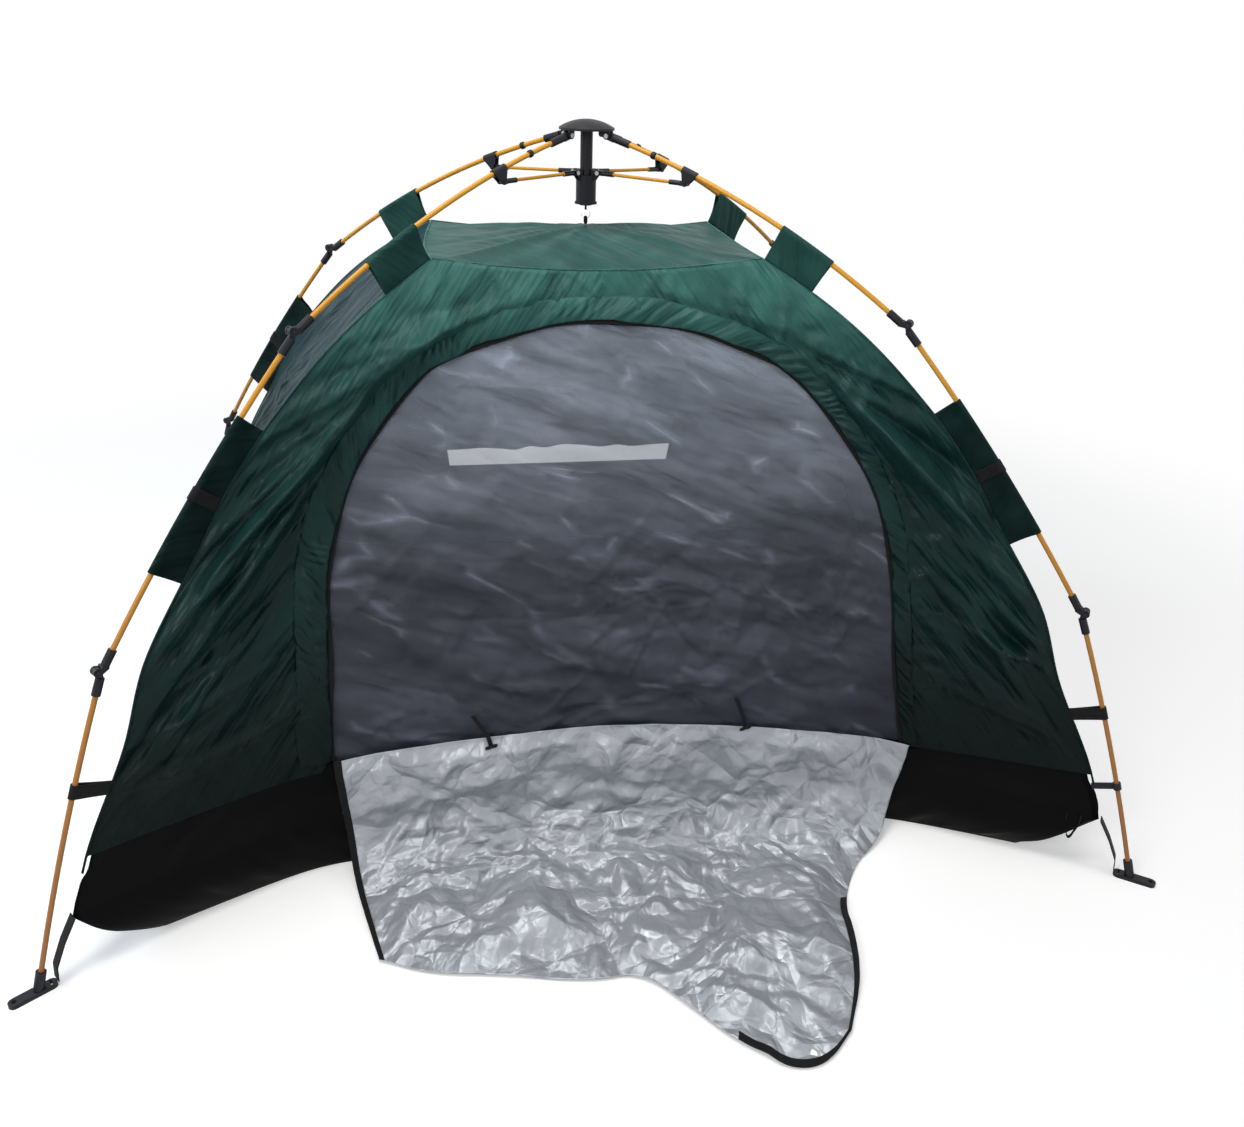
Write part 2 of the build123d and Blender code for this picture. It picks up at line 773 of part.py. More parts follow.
def seam_at(height):
    # corner seam of tub and canopy in the radial plane, straight between the rings
    rows = [(tub_corner_lift, tub_corner(tub_corner_lift))]
    rows += [(row[0], pole_radius_at(row[0]) - row[1]) for row in canopy_rows]
    rows.append((roof_corner_height, roof_corner_radius))
    for (low, low_radius), (high, high_radius) in zip(rows, rows[1:]):
        if height <= high:
            share = (height - low) / (high - low)
            return Vector(low_radius + share * (high_radius - low_radius), 0, height)
    return Vector(roof_corner_radius, 0, roof_corner_height)


def seam_below(point, slope):
    # where a line square to the pole meets the corner seam
    low = 0.0
    high = 2 * max(row[1] for row in canopy_rows)
    for _ in range(40):
        guess = (low + high) / 2
        foot_of_line = point - outward(slope) * guess
        height = min(max(foot_of_line.Z, tub_corner_lift), roof_corner_height)
        if foot_of_line.X > seam_at(height).X:
            low = guess
        else:
            high = guess
    return point - outward(slope) * low


sleeve_radius = rod_radius + sleeve_gap + cloth


def pole_tube(start, length, radius):
    # a round bar that follows the bow of the pole
    first, slope = pole_at(start)
    path = Edge.make_three_point_arc(first, pole_at(start + length / 2)[0], pole_at(start + length)[0])
    return sweep(Plane(origin=first, z_dir=along(slope)) * Circle(radius), path=Wire([path]))


def pole_sleeve(start, length):
    first, first_slope = pole_at(start)
    last, last_slope = pole_at(start + length)
    tube = pole_tube(start, length, sleeve_radius)
    near_first = seam_below(first, first_slope) - outward(first_slope) * seam_overlap
    near_last = seam_below(last, last_slope) - outward(last_slope) * seam_overlap
    flat = Plane(origin=(0, 0, 0), x_dir=(1, 0, 0), z_dir=(0, -1, 0))
    web = Polygon((first.X, first.Z), (last.X, last.Z), (near_last.X, near_last.Z), (near_first.X, near_first.Z),
                  align=None)
    body = tube + side_plate(flat, web, 2 * cloth)
    return body - pole_tube(start - sleeve_overrun, length + 2 * sleeve_overrun, rod_radius + sleeve_gap)


def sleeve_strap():
    # a band round the middle of the lower sleeve, reaching in over its web
    distance = lower_sleeve_start + lower_sleeve_length / 2
    point, slope = pole_at(distance)
    wall = webbing_thickness
    inner = sleeve_radius + side_clearance + 0.4
    half = sleeve_strap_width / 2
    heading = along(slope)
    shell = bar(point - heading * half, heading, sleeve_strap_width, inner + wall)
    depth = (point - seam_below(point, slope)).length - 4 * cloth
    plane = side_plane(point, slope)
    web = 2 * (cloth + side_clearance)
    tab = side_plate(plane, Pos(0, -depth / 2) * Rectangle(sleeve_strap_width, depth), web + 2 * wall)
    clear = side_plate(plane, Pos(0, -depth) * Rectangle(2 * sleeve_strap_width, 2 * depth), web)
    return shell + tab - clear - bar(point - heading * 2 * half, heading, 4 * half, inner)


def lower_strap():
    # a webbing loop round the lower rod, sewn to the corner seam
    point, slope = pole_at(lower_strap_distance)
    heading = along(slope)
    inner = rod_radius + sleeve_gap
    half = lower_strap_width / 2
    depth = (point - seam_below(point, slope)).length + seam_overlap
    plane = side_plane(point, slope)
    tab = side_plate(plane, Pos(0, -depth / 2) * Rectangle(lower_strap_width, depth), webbing_thickness)
    loop = bar(point - heading * half, heading, lower_strap_width, inner + webbing_thickness)
    return loop + tab - bar(point - heading * 2 * half, heading, 4 * half, inner)


def corner_webbing():
    # a strip from the lifted tub corner down to the heel of the foot
    start = Vector(tub_corner(tub_corner_lift) + cloth_clearance, 0, tub_corner_lift)
    stop = Vector(foot_point.X - heel_length - sole_width / 2 - cloth_clearance, 0, sole_height)
    run = stop - start
    strip = Plane(origin=start, x_dir=(0, 1, 0), z_dir=run) * Box(
        webbing_width, webbing_thickness, run.length, align=(Align.CENTER, Align.MIN, Align.MIN))
    return strip


def sewn(shapes):
    # pieces that reach the corner seams, cut back to a small clearance from walls and tub
    keep_out = [wall_loft(-cloth_clearance), tub_loft(-cloth_clearance, -cloth_clearance)]
    trimmed = []
    for shape in shapes:
        for solid in keep_out:
            shape = shape - solid
        trimmed.append(shape)
    return trimmed


def pole_clip():
    # an open ring that snaps on the front-right lower rod and holds the tub's top corner
    point, slope = pole_at(clip_distance)
    heading = along(slope)
    inner = rod_radius + side_clearance
    start = point - heading * (clip_width / 2)
    ring_wall = bar(start, heading, clip_width, inner + clip_wall)
    depth = (point - seam_below(point, slope)).length + seam_overlap
    tab = side_plate(side_plane(point, slope), Pos(0, -depth / 2) * Rectangle(clip_width, depth), clip_wall)
    body = ring_wall + tab - bar(start - heading, heading, clip_width + 2, inner)
    return body.rotate(Axis.Z, corners["front_right"])


def peg_loop():
    # a tape loop hanging from the tub's front edge near the front-right corner
    corner = Vector(tub_corner(tub_corner_lift), 0, tub_corner_lift).rotate(Axis.Z, corners["front_right"])
    front = Vector(floor_front_half, -floor_front, tub_corner_lift)
    heading = (corner - front).normalized()
    normal = heading.cross(Vector(0, 0, 1)).normalized()
    place = corner - heading * peg_loop_span * 1.5 + normal * cloth_clearance
    outer = Polygon((-peg_loop_span / 2, 0), (0, -peg_loop_drop), (peg_loop_span / 2, 0), align=None)
    band = outer - offset(outer, amount=-peg_loop_tape)
    return extrude(Plane(origin=place, x_dir=heading, z_dir=normal) * band, amount=peg_loop_width)


# Door ties and zip slider


def door_tie(place):
    tape = Box(tie_width, webbing_thickness, tie_length, align=(Align.CENTER, Align.MAX, Align.MIN))
    toggle = Pos(0, -tie_toggle_radius, 0) * Rotation(0, 90, 0) * Cylinder(tie_toggle_radius, 3 * tie_width)
    height = sill_height + tie_toggle_radius + cloth
    tie = (tape + toggle).rotate(Axis.X, -front_lean)
    return Pos(place, -front_at(height) - cloth_clearance, height) * tie


def zip_slider():
    width, depth, height = zip_slider_size
    leg_share = (zip_slider_height - sill_height) / (door_leg_top - sill_height)
    place = door_sill_half + leg_share * (door_leg_half - door_sill_half)
    lean = math.tan(math.radians(front_lean))
    rises = (height / 2, 0, -zip_pull_length)
    front = max(front_at(zip_slider_height + rise, place + width / 2) + rise * lean for rise in rises)
    body = Box(width, depth, height, align=(Align.CENTER, Align.MAX, Align.CENTER))
    pull = Pos(0, -depth, 0) * Box(width / 2, 1.2, zip_pull_length, align=(Align.CENTER, Align.MAX, Align.MAX))
    pull -= Pos(0, -depth, -zip_pull_length + width / 2) * Rotation(90, 0, 0) * Cylinder(width / 6, 6)
    slider = (body + pull).rotate(Axis.X, -front_lean)
    return Pos(place, -front - cloth_clearance, zip_slider_height) * slider


def write(name, *solids):
    shape = solids[0] if len(solids) == 1 else Compound(children=list(solids))
    export_step(shape, os.path.join("parts", name + ".step"))


os.makedirs("parts", exist_ok=True)

write("roof", roof())
write("front_wall", front_panel - door_hole)
write("door_mesh", front_panel & standing_prism(door_outline(cloth_clearance), -front_reach, 0))
write("left_wall", left_panel)
write("right_wall", right_panel)
write("rear_wall", rear_panel - window_hole)
write("window_panel", rear_panel & window_panel_cut)
write("floor_tub", floor_tub())
write("door_flap", door_flap())
write("door_flap_binding", *door_flap_binding().solids())
write("pole_sleeves", *sewn(around([pole_sleeve(upper_sleeve_start, upper_sleeve_length),
                                    pole_sleeve(lower_sleeve_start, lower_sleeve_length)])))
write("pole_straps", *sewn(around([sleeve_strap(), lower_strap()])))
write("corner_webbing", *around([corner_webbing()]))
write("pole_clip", *sewn([pole_clip()]))
write("peg_loop", peg_loop())
write("peak_loop", peak_loop())
write("door_ties", door_tie(tie_left), door_tie(tie_right))
write("zip_slider", zip_slider())

write("hub_dome", hub_dome())
write("hub_pins", *hub_pins())
write("centre_shaft", centre_shaft())
write("peak_hook", peak_hook())
write("runner", runner())
write("runner_pins", *runner_pins())

pole_nodes = {
    "upper_pole": [upper_rod()],
    "upper_end_fittings": [hub_socket(), upper_knee.fork(), upper_knee.rivet()],
    "strut_bracket": [strut_bracket()],
    "middle_pole": [middle.rod(knee_trim, knee_trim)],
    "middle_end_fittings": [upper_knee.tongue(), lower_knee.fork(), lower_knee.rivet()],
    "lower_pole": [lower_rod()],
    "lower_knee_tongue": [lower_knee.tongue()],
    "foot": [foot()],
    "strut": strut_parts(),
}
for corner, azimuth in corners.items():
    for name, solids in pole_nodes.items():
        write(corner + "_" + name, *[solid.rotate(Axis.Z, azimuth) for solid in solids])

# Joint places for the record, in the radial plane: radius and height in mm, angles in degrees
print("hub pivot", hub_pivot_radius, hub_pivot_height, "azimuth", pole_azimuth)
print("runner pivot", runner_pivot, "bracket pin", bracket_pin, "strut slope", strut_slope, "travel", runner_travel)
print("upper knee pin", upper_knee.pin, "lower knee pin", lower_knee.pin)
print("lower knee axis", lower_knee.axis())
print("foot", foot_point, "slope", lower.end_slope, "lower length", lower.length)
print("shaft end", shaft_end, "roof peak", roof_peak, "roof corner", roof_corner_height)
print("pole length", sum(segment.length for segment in pole_segments))
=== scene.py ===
import bpy
import json
import math
import numpy as np
from mathutils import Matrix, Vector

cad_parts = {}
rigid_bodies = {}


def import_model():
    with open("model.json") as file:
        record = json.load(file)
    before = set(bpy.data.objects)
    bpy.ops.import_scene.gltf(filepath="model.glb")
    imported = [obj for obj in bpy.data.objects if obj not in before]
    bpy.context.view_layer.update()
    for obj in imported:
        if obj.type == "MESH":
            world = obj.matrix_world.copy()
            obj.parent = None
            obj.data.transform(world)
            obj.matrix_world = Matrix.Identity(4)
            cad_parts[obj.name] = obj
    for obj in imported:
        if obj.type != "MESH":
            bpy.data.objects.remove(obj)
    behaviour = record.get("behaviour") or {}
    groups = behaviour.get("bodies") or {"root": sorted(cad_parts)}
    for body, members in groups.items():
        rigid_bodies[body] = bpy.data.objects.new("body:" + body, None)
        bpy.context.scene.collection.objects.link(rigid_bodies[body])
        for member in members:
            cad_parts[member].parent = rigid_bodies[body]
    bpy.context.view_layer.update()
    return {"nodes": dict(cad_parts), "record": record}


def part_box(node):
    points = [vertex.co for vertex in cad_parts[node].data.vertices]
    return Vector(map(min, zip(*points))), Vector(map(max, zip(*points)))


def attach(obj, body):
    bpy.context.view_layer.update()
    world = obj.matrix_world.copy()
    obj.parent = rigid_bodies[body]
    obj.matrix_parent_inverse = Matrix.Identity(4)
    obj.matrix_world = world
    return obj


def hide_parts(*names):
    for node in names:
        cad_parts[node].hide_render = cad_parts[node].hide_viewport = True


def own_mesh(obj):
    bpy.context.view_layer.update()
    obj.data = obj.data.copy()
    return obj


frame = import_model()
scene = bpy.context.scene
cornerTurns = {"front_left": 215.9, "front_right": 324.1, "rear_left": 144.1, "rear_right": 35.9}
print("frame loaded")

# camera, floor and light

photoView = dict(place=(-0.3081, -2.2437, 1.5381), yaw=0.1803, pitch=-0.4597, roll=0.0331,
                 focal=1047.37, width=1244, sensor=36.0)


def standing(columns):
    # a world matrix from its three axes and its place
    return Matrix([[float(column[row]) for column in columns] for row in range(3)] + [[0, 0, 0, 1]])


def setCamera(v):
    # forward from yaw and pitch, then the right and up axes turned by the roll
    level = math.cos(v["pitch"])
    ahead = np.array([math.sin(v["yaw"]) * level, math.cos(v["yaw"]) * level, math.sin(v["pitch"])])
    right = np.array([math.cos(v["yaw"]), -math.sin(v["yaw"]), 0.0])
    up = np.cross(right, ahead)
    c, s = math.cos(v["roll"]), math.sin(v["roll"])
    lens = bpy.data.cameras.new("photoCamera")
    lens.sensor_width = v["sensor"]
    lens.lens = v["sensor"] * v["focal"] / v["width"]
    lens.clip_start, lens.clip_end = 0.05, 200.0
    camera = bpy.data.objects.new("photoCamera", lens)
    camera.matrix_world = standing([c * right + s * up, c * up - s * right, -ahead, np.array(v["place"])])
    scene.collection.objects.link(camera)
    scene.camera = camera


studio = dict(floorHalf=60.0, floorColour=(0.80, 0.80, 0.80, 1), cameraLift=0.34, fadeFrom=1.3, fadeTo=3.4,
              worldLight=0.22, worldColour=(0.96, 0.98, 1.0, 1), aim=(0.0, 0.0, 0.55),
              lamps=[("topLamp", (-0.6, -0.5, 4.6), 2.6, 110.0, (1.0, 0.99, 0.97)),
                     ("keyLamp", (-3.2, -3.4, 3.2), 1.8, 75.0, (1.0, 0.985, 0.96)),
                     ("skyLamp", (-3.7, 1.0, 2.4), 2.2, 50.0, (0.62, 0.80, 1.0)),
                     ("fillLamp", (3.6, -2.4, 2.6), 2.0, 26.0, (0.95, 0.98, 1.0))])


def feed(node, sockets):
    # each socket is set to a value or linked to another node's output
    for key, value in sockets.items():
        if isinstance(value, bpy.types.NodeSocket):
            node.id_data.links.new(value, node.inputs[key])
        else:
            node.inputs[key].default_value = value


def addNode(tree, kind, sockets, **settings):
    # a shader node: its settings first, then its sockets
    node = tree.nodes.new("ShaderNode" + kind)
    for name, value in settings.items():
        setattr(node, name, value)
    feed(node, sockets)
    return node


def emptyTree(owner):
    # the node tree of a material or a world, cleared
    owner.use_nodes = True
    owner.node_tree.nodes.clear()
    return owner.node_tree


def sums(tree, operation, first, second):
    # one sum of two sockets or numbers
    return addNode(tree, "Math", {0: first, 1: second}, operation=operation).outputs[0]


def seenRays(tree):
    # 1 for rays that show the background: from the camera, in a gloss or through a clear surface
    rays = tree.nodes.new("ShaderNodeLightPath").outputs
    return sums(tree, "MAXIMUM", rays["Is Camera Ray"],
                sums(tree, "MAXIMUM", rays["Is Glossy Ray"], rays["Is Transmission Ray"]))


def setWorld(d):
    # a dim even sky for the light, plain white where it is seen
    scene.world = bpy.data.worlds.new("studioWorld")
    tree = emptyTree(scene.world)
    soft = addNode(tree, "Background", {"Color": d["worldColour"], "Strength": d["worldLight"]})
    white = addNode(tree, "Background", {"Color": (1, 1, 1, 1), "Strength": 1.0})
    pick = addNode(tree, "MixShader", {0: seenRays(tree), 1: soft.outputs[0], 2: white.outputs[0]})
    addNode(tree, "OutputWorld", {0: pick.outputs[0]})


def setLamps(d):
    # round lamps, each turned to the aim: its back axis runs from the aim to the lamp
    for name, place, size, power, colour in d["lamps"]:
        lamp = bpy.data.lights.new(name, "AREA")
        lamp.shape, lamp.size, lamp.energy, lamp.color = "DISK", size, power, colour
        holder = bpy.data.objects.new(name, lamp)
        back = np.array(place) - np.array(d["aim"])
        back = back / np.linalg.norm(back)
        side = np.cross((0, 0, 1), back)
        side = side / np.linalg.norm(side)
        holder.matrix_world = standing([side, np.cross(back, side), back, np.array(place)])
        scene.collection.objects.link(holder)


def setFloor(d):
    # a matt square that keeps the shadow, lifted where it is seen and fading to white with the distance
    half = d["floorHalf"]
    mesh = bpy.data.meshes.new("studioFloor")
    corners = [(-half, -half, 0), (half, -half, 0), (half, half, 0), (-half, half, 0)]
    mesh.from_pydata(corners, [], [(0, 1, 2, 3)])
    ground = bpy.data.objects.new("studioFloor", mesh)
    scene.collection.objects.link(ground)
    paint = bpy.data.materials.new("floorPaint")
    tree = emptyTree(paint)
    seen = seenRays(tree)
    where = tree.nodes.new("ShaderNodeTexCoord")
    away = addNode(tree, "VectorMath", {0: where.outputs["Object"]}, operation="LENGTH")
    fading = {"Value": away.outputs["Value"], "From Min": d["fadeFrom"], "From Max": d["fadeTo"]}
    ease = addNode(tree, "MapRange", fading, interpolation_type="SMOOTHSTEP")
    matt = addNode(tree, "BsdfDiffuse", {"Color": d["floorColour"]})
    glow = addNode(tree, "Emission", {"Strength": sums(tree, "MULTIPLY", seen, d["cameraLift"])})
    white = tree.nodes.new("ShaderNodeEmission")
    lifted = addNode(tree, "AddShader", {0: matt.outputs[0], 1: glow.outputs[0]})
    far = sums(tree, "MULTIPLY", seen, ease.outputs[0])
    fade = addNode(tree, "MixShader", {0: far, 1: lifted.outputs[0], 2: white.outputs[0]})
    addNode(tree, "OutputMaterial", {0: fade.outputs[0]})
    mesh.materials.append(paint)


scene.view_settings.view_transform = "Standard"
setCamera(photoView)
setWorld(studio)
setLamps(studio)
setFloor(studio)
print("camera, lamps and floor set")

# materials: small node helpers, then one function for each finish


def newFinish(name):
    # an empty material with one skin shader on its output
    finish = bpy.data.materials.new(name)
    tree = emptyTree(finish)
    skin = tree.nodes.new("ShaderNodeBsdfPrincipled")
    addNode(tree, "OutputMaterial", {0: skin.outputs[0]})
    return finish, tree, skin


def places(tree, kind, stretch=(1, 1, 1), turn=0.0):
    # coordinates in metres, turned about Z and then stretched
    source = tree.nodes.new("ShaderNodeTexCoord")
    spin = addNode(tree, "Mapping", {"Vector": source.outputs[kind], "Rotation": (0, 0, turn)})
    return addNode(tree, "Mapping", {"Vector": spin.outputs[0], "Scale": stretch}).outputs[0]


def cloud(tree, where, scale, detail=3.0, rough=0.5, kind="FBM"):
    # soft noise from 0 to 1
    sockets = {"Vector": where, "Scale": scale, "Detail": detail, "Roughness": rough}
    return addNode(tree, "TexNoise", sockets, noise_type=kind, normalize=True).outputs["Fac"]


def facets(tree, where, scale, feature="DISTANCE_TO_EDGE"):
    # distance to the nearest of scattered points, or to the edge between two of them
    return addNode(tree, "TexVoronoi", {"Vector": where, "Scale": scale}, feature=feature).outputs["Distance"]


def stripes(tree, where, scale, direction):
    # even waves along one direction
    return addNode(tree, "TexWave", {"Vector": where, "Scale": scale}, bands_direction=direction).outputs["Fac"]


def weave(tree, where, scale):
    # two crossed sets of threads
    return sums(tree, "ADD", stripes(tree, where, scale, "X"), stripes(tree, where, scale, "Y"))


def weighted(tree, terms):
    # the sum of some sockets, each times its weight
    total = None
    for socket, weight in terms:
        part = sums(tree, "MULTIPLY", socket, weight)
        total = part if total is None else sums(tree, "ADD", total, part)
    return total


def shades(tree, fac, stops):
    # colours along a ramp, straight between the stops
    node = addNode(tree, "ValToRGB", {0: fac})
    ramp = node.color_ramp
    while len(ramp.elements) < len(stops):
        ramp.elements.new(0.5)
    for element, (position, colour) in zip(ramp.elements, stops):
        element.position = position
        element.color = (*colour, 1)
    return node.outputs[0]


def grey(value):
    # one value as a colour
    return (value, value, value)


def tinted(colour, factor, lift=0.0):
    # a colour times a factor, with a little added
    return tuple(c * factor + lift for c in colour)


def scaledStops(stops, factor):
    # the same heights with every colour times a factor
    return [(z, tinted(colour, factor)) for z, colour in stops]


def relief(tree, skin, layers):
    # a chain of bumps: (height, strength, depth in metres)
    chain = {}
    for height, strength, depth in layers:
        node = addNode(tree, "Bump", {"Height": height, "Strength": strength, "Distance": depth, **chain})
        chain = {"Normal": node.outputs[0]}
    feed(skin, chain)


def objectAxes(tree):
    # X, Y and Z of the place on the tent, in metres
    return addNode(tree, "SeparateXYZ", {0: places(tree, "Object")}).outputs


def byHeight(tree, stops, span=1.25):
    # a colour for each height above the ground, over a span from 0
    height = sums(tree, "DIVIDE", objectAxes(tree)["Z"], span)
    return shades(tree, height, [(z / span, colour) for z, colour in stops])


def times(tree, first, second):
    # two colours multiplied
    return addNode(tree, "MixRGB", {0: 1.0, 1: first, 2: second}, blend_type="MULTIPLY").outputs[0]


def warped(tree, where, source, scale, amount):
    # places drawn a little towards a soft colour noise, so that straight patterns bend
    noise = addNode(tree, "TexNoise", {"Vector": source, "Scale": scale, "Detail": 2.0})
    return addNode(tree, "MixRGB", {0: amount, 1: where, 2: noise.outputs["Color"]}).outputs[0]


def wovenNylon(name, stops, roughs, gloss, crumple=1.0):
    # coated taffeta: fine crossed threads and handling creases, duller low down; colour by height from the
    # stops, times a tone of random drift and painted light and shade along the pulls and rumples
    finish, tree, skin = newFinish(name)
    flat = places(tree, "UV")
    drift = cloud(tree, flat, 3.1, 5.0, 0.6)
    rumple = cloud(tree, places(tree, "UV", (1.0, 0.5, 1.0), 0.6), 15.0, 4.0, 0.55, "RIDGED_MULTIFRACTAL")
    pulls = cloud(tree, places(tree, "UV", (0.16, 1.0, 1.0), 0.9), 19.0, 3.0, 0.5)
    wide = facets(tree, places(tree, "UV", (1, 0.55, 1), 0.35), 15.0, "F1")
    small = facets(tree, places(tree, "UV", (1, 0.6, 1), -0.5), 38.0, "F1")
    # painted light and shade: the tone follows the pulls and rumples of the relief, lighter on their crests and
    # darker in their hollows, with some random drift
    tone = weighted(tree, [(drift, 0.35), (rumple, 0.25), (pulls, 0.4)])
    driftAndPaintedLight = shades(tree, tone, [(0.3, grey(0.6)), (0.7, grey(1.45))])
    dull = byHeight(tree, [(z, grey(rough)) for z, rough in roughs])
    worn = sums(tree, "ADD", dull, sums(tree, "MULTIPLY", rumple, -0.12))
    feed(skin, {"Base Color": times(tree, byHeight(tree, stops), driftAndPaintedLight), "Roughness": worn,
                "Specular IOR Level": gloss})
    relief(tree, skin, [(weave(tree, flat, 420.0), 0.1, 0.0003), (pulls, 1.0 * crumple, 0.04),
                        (rumple, 0.5 * crumple, 0.006), (wide, 0.4 * crumple, 0.010),
                        (small, 0.4 * crumple, 0.005)])
    return finish


def silverCoating(name, base, rough, metal, creases):
    # sprayed silver coat on cloth: crisp facets between straight creases in three sizes, dull metal on them
    finish, tree, skin = newFinish(name)
    flat = places(tree, "UV")
    bent = warped(tree, flat, flat, 6.0, 0.10)
    sizes = [(facets(tree, bent, scale), strength * creases, depth)
             for scale, strength, depth in ((8.5, 0.65, 0.05), (21.0, 0.5, 0.016), (52.0, 0.32, 0.005))]
    ridged = cloud(tree, bent, 20.0, 5.0, 0.6, "RIDGED_MULTIFRACTAL")
    tone = cloud(tree, flat, 5.0, 4.0)
    feed(skin, {"Base Color": shades(tree, tone, [(0.25, tinted(base, 0.86)), (0.75, tinted(base, 1.08))]),
                "Roughness": shades(tree, ridged, [(0.2, grey(rough + 0.1)), (0.8, grey(rough - 0.08))]),
                "Metallic": metal, "Specular IOR Level": 0.5})
    relief(tree, skin, sizes + [(ridged, 0.3 * creases, 0.004)])
    return finish


def netting(name, stops, cover):
    # fine net: a see-through film with facets, painted shade in soft streaks, and short pale wrinkle lines
    # painted as highlights
    finish, tree, skin = newFinish(name)
    drift = cloud(tree, places(tree, "UV"), 2.4, 4.0)
    slanted = places(tree, "UV", (0.55, 1.5, 1.0), 0.45)
    bent = warped(tree, slanted, places(tree, "UV", (0.7, 1.8, 1.0), 0.35), 4.0, 0.12)
    # pale wrinkle lines: painted highlights along thin creases, shown in patches and mostly low down
    lines = shades(tree, facets(tree, bent, 9.0), [(0.0, grey(1.0)), (0.03, grey(0.45)), (0.10, grey(0.0))])
    spots = cloud(tree, places(tree, "UV", (0.7, 1.4, 1.0), 0.4), 13.0, 2.0)
    patchy = shades(tree, spots, [(0.50, grey(0.0)), (0.66, grey(1.0))])
    low = byHeight(tree, [(0.3, grey(1.0)), (0.62, grey(0.9)), (0.95, grey(0.4))])
    paintedHighlightLines = sums(tree, "MULTIPLY", sums(tree, "MULTIPLY", lines, patchy), low)
    # soft streaks of painted light and shade across the wrinkles
    paintedWrinkleShade = cloud(tree, places(tree, "UV", (0.35, 1.7, 1.0), 0.3), 9.0, 4.0, 0.6)
    tone = weighted(tree, [(drift, 0.25), (paintedWrinkleShade, 0.6), (paintedHighlightLines, 0.34)])
    driftAndPaintedLight = shades(tree, tone, [(0.30, grey(0.55)), (0.44, grey(1.06)), (0.60, grey(1.85)), (1.0, grey(2.9))])
    feed(skin, {"Base Color": times(tree, byHeight(tree, stops), driftAndPaintedLight),
                "Alpha": shades(tree, paintedHighlightLines, [(0.0, grey(cover)), (1.0, grey(cover + 0.08))]),
                "Roughness": 0.45, "Specular IOR Level": 0.25})
    wide = facets(tree, bent, 16.0, "F1")
    small = facets(tree, bent, 42.0, "F1")
    relief(tree, skin, [(wide, 0.8, 0.02), (small, 0.6, 0.007), (lines, 0.35, 0.004)])
    return finish


def blackTape(name, colour, rough):
    # ribbed webbing: ribs across the tape and a little lint
    finish, tree, skin = newFinish(name)
    flat = places(tree, "UV")
    ribs = weighted(tree, [(stripes(tree, flat, 210.0, "X"), 1.0), (stripes(tree, flat, 150.0, "Y"), 0.5)])
    lint = cloud(tree, flat, 90.0, 4.0, 0.7)
    feed(skin, {"Base Color": shades(tree, lint, [(0.35, colour), (0.8, tinted(colour, 2.4))]),
                "Roughness": rough, "Sheen Weight": 0.05, "Specular IOR Level": 0.15})
    relief(tree, skin, [(ribs, 0.45, 0.0006), (lint, 0.1, 0.0006)])
    return finish


def tubSheet(name, colour, rough):
    # heavy coated sheet: nearly black, with a dull shine on its folds
    finish, tree, skin = newFinish(name)
    flat = places(tree, "UV")
    drift = cloud(tree, flat, 5.0, 5.0)
    rumple = cloud(tree, places(tree, "UV", (1.0, 0.5, 1.0), 0.2), 15.0, 4.0, 0.6, "RIDGED_MULTIFRACTAL")
    feed(skin, {"Base Color": shades(tree, drift, [(0.3, colour), (0.75, tinted(colour, 1.9))]),
                "Roughness": shades(tree, rumple, [(0.05, grey(rough + 0.15)), (0.6, grey(rough - 0.12))]),
                "Specular IOR Level": 0.055})
    relief(tree, skin, [(weave(tree, flat, 190.0), 0.15, 0.0005), (rumple, 0.9, 0.012)])
    return finish


def mouldedPlastic(name, colour, rough):
    # moulded fittings: fine grain, faint flow marks and rubbed patches
    finish, tree, skin = newFinish(name)
    where = places(tree, "Object")
    rubbed = cloud(tree, where, 38.0, 5.0, 0.65)
    feed(skin, {"Base Color": shades(tree, rubbed, [(0.4, colour), (0.8, tinted(colour, 2.0, 0.002))]),
                "Roughness": shades(tree, rubbed, [(0.3, grey(rough)), (0.8, grey(rough + 0.16))]),
                "Specular IOR Level": 0.25})
    relief(tree, skin, [(cloud(tree, where, 900.0, 2.0), 0.12, 0.0004)])
    return finish


def glassRod(tree, skin, upper, lower, rough):
    # pultruded rod: amber resin with long fibres; painted shade makes it darker and browner towards the ground
    # painted shade by height: from the shaded low colour near the ground to the lit amber high up, with a
    # little fibre tone
    height = sums(tree, "DIVIDE", objectAxes(tree)["Z"], 1.4)
    fibres = cloud(tree, places(tree, "Object", (1, 1, 0.2)), 260.0, 3.0, 0.6)
    tone = weighted(tree, [(height, 0.7), (fibres, 0.15)])
    feed(skin, {"Roughness": rough, "Coat Weight": 0.12, "Coat Roughness": 0.2, "Specular IOR Level": 0.3})
    relief(tree, skin, [(fibres, 0.12, 0.0004)])
    return shades(tree, tone, [(0.15, lower), (0.7, upper)])


def poleFinish(name, upper, lower, rough):
    # the bare rod
    finish, tree, skin = newFinish(name)
    feed(skin, {"Base Color": glassRod(tree, skin, upper, lower, rough)})
    return finish


def strutFinish(name, upper, lower, black, rough, inner, outer):
    # the strut's rod between two radii from the hub's axis, black sockets on both ends
    finish, tree, skin = newFinish(name)
    axes = objectAxes(tree)
    squares = sums(tree, "ADD", sums(tree, "POWER", axes["X"], 2.0), sums(tree, "POWER", axes["Y"], 2.0))
    reach = sums(tree, "SQRT", squares, 0.0)
    past, short = sums(tree, "GREATER_THAN", reach, inner), sums(tree, "LESS_THAN", reach, outer)
    bare = sums(tree, "MULTIPLY", past, short)
    amber = glassRod(tree, skin, upper, lower, rough)
    feed(skin, {"Base Color": addNode(tree, "MixRGB", {0: bare, 1: (*black, 1), 2: amber}).outputs[0]})
    return finish


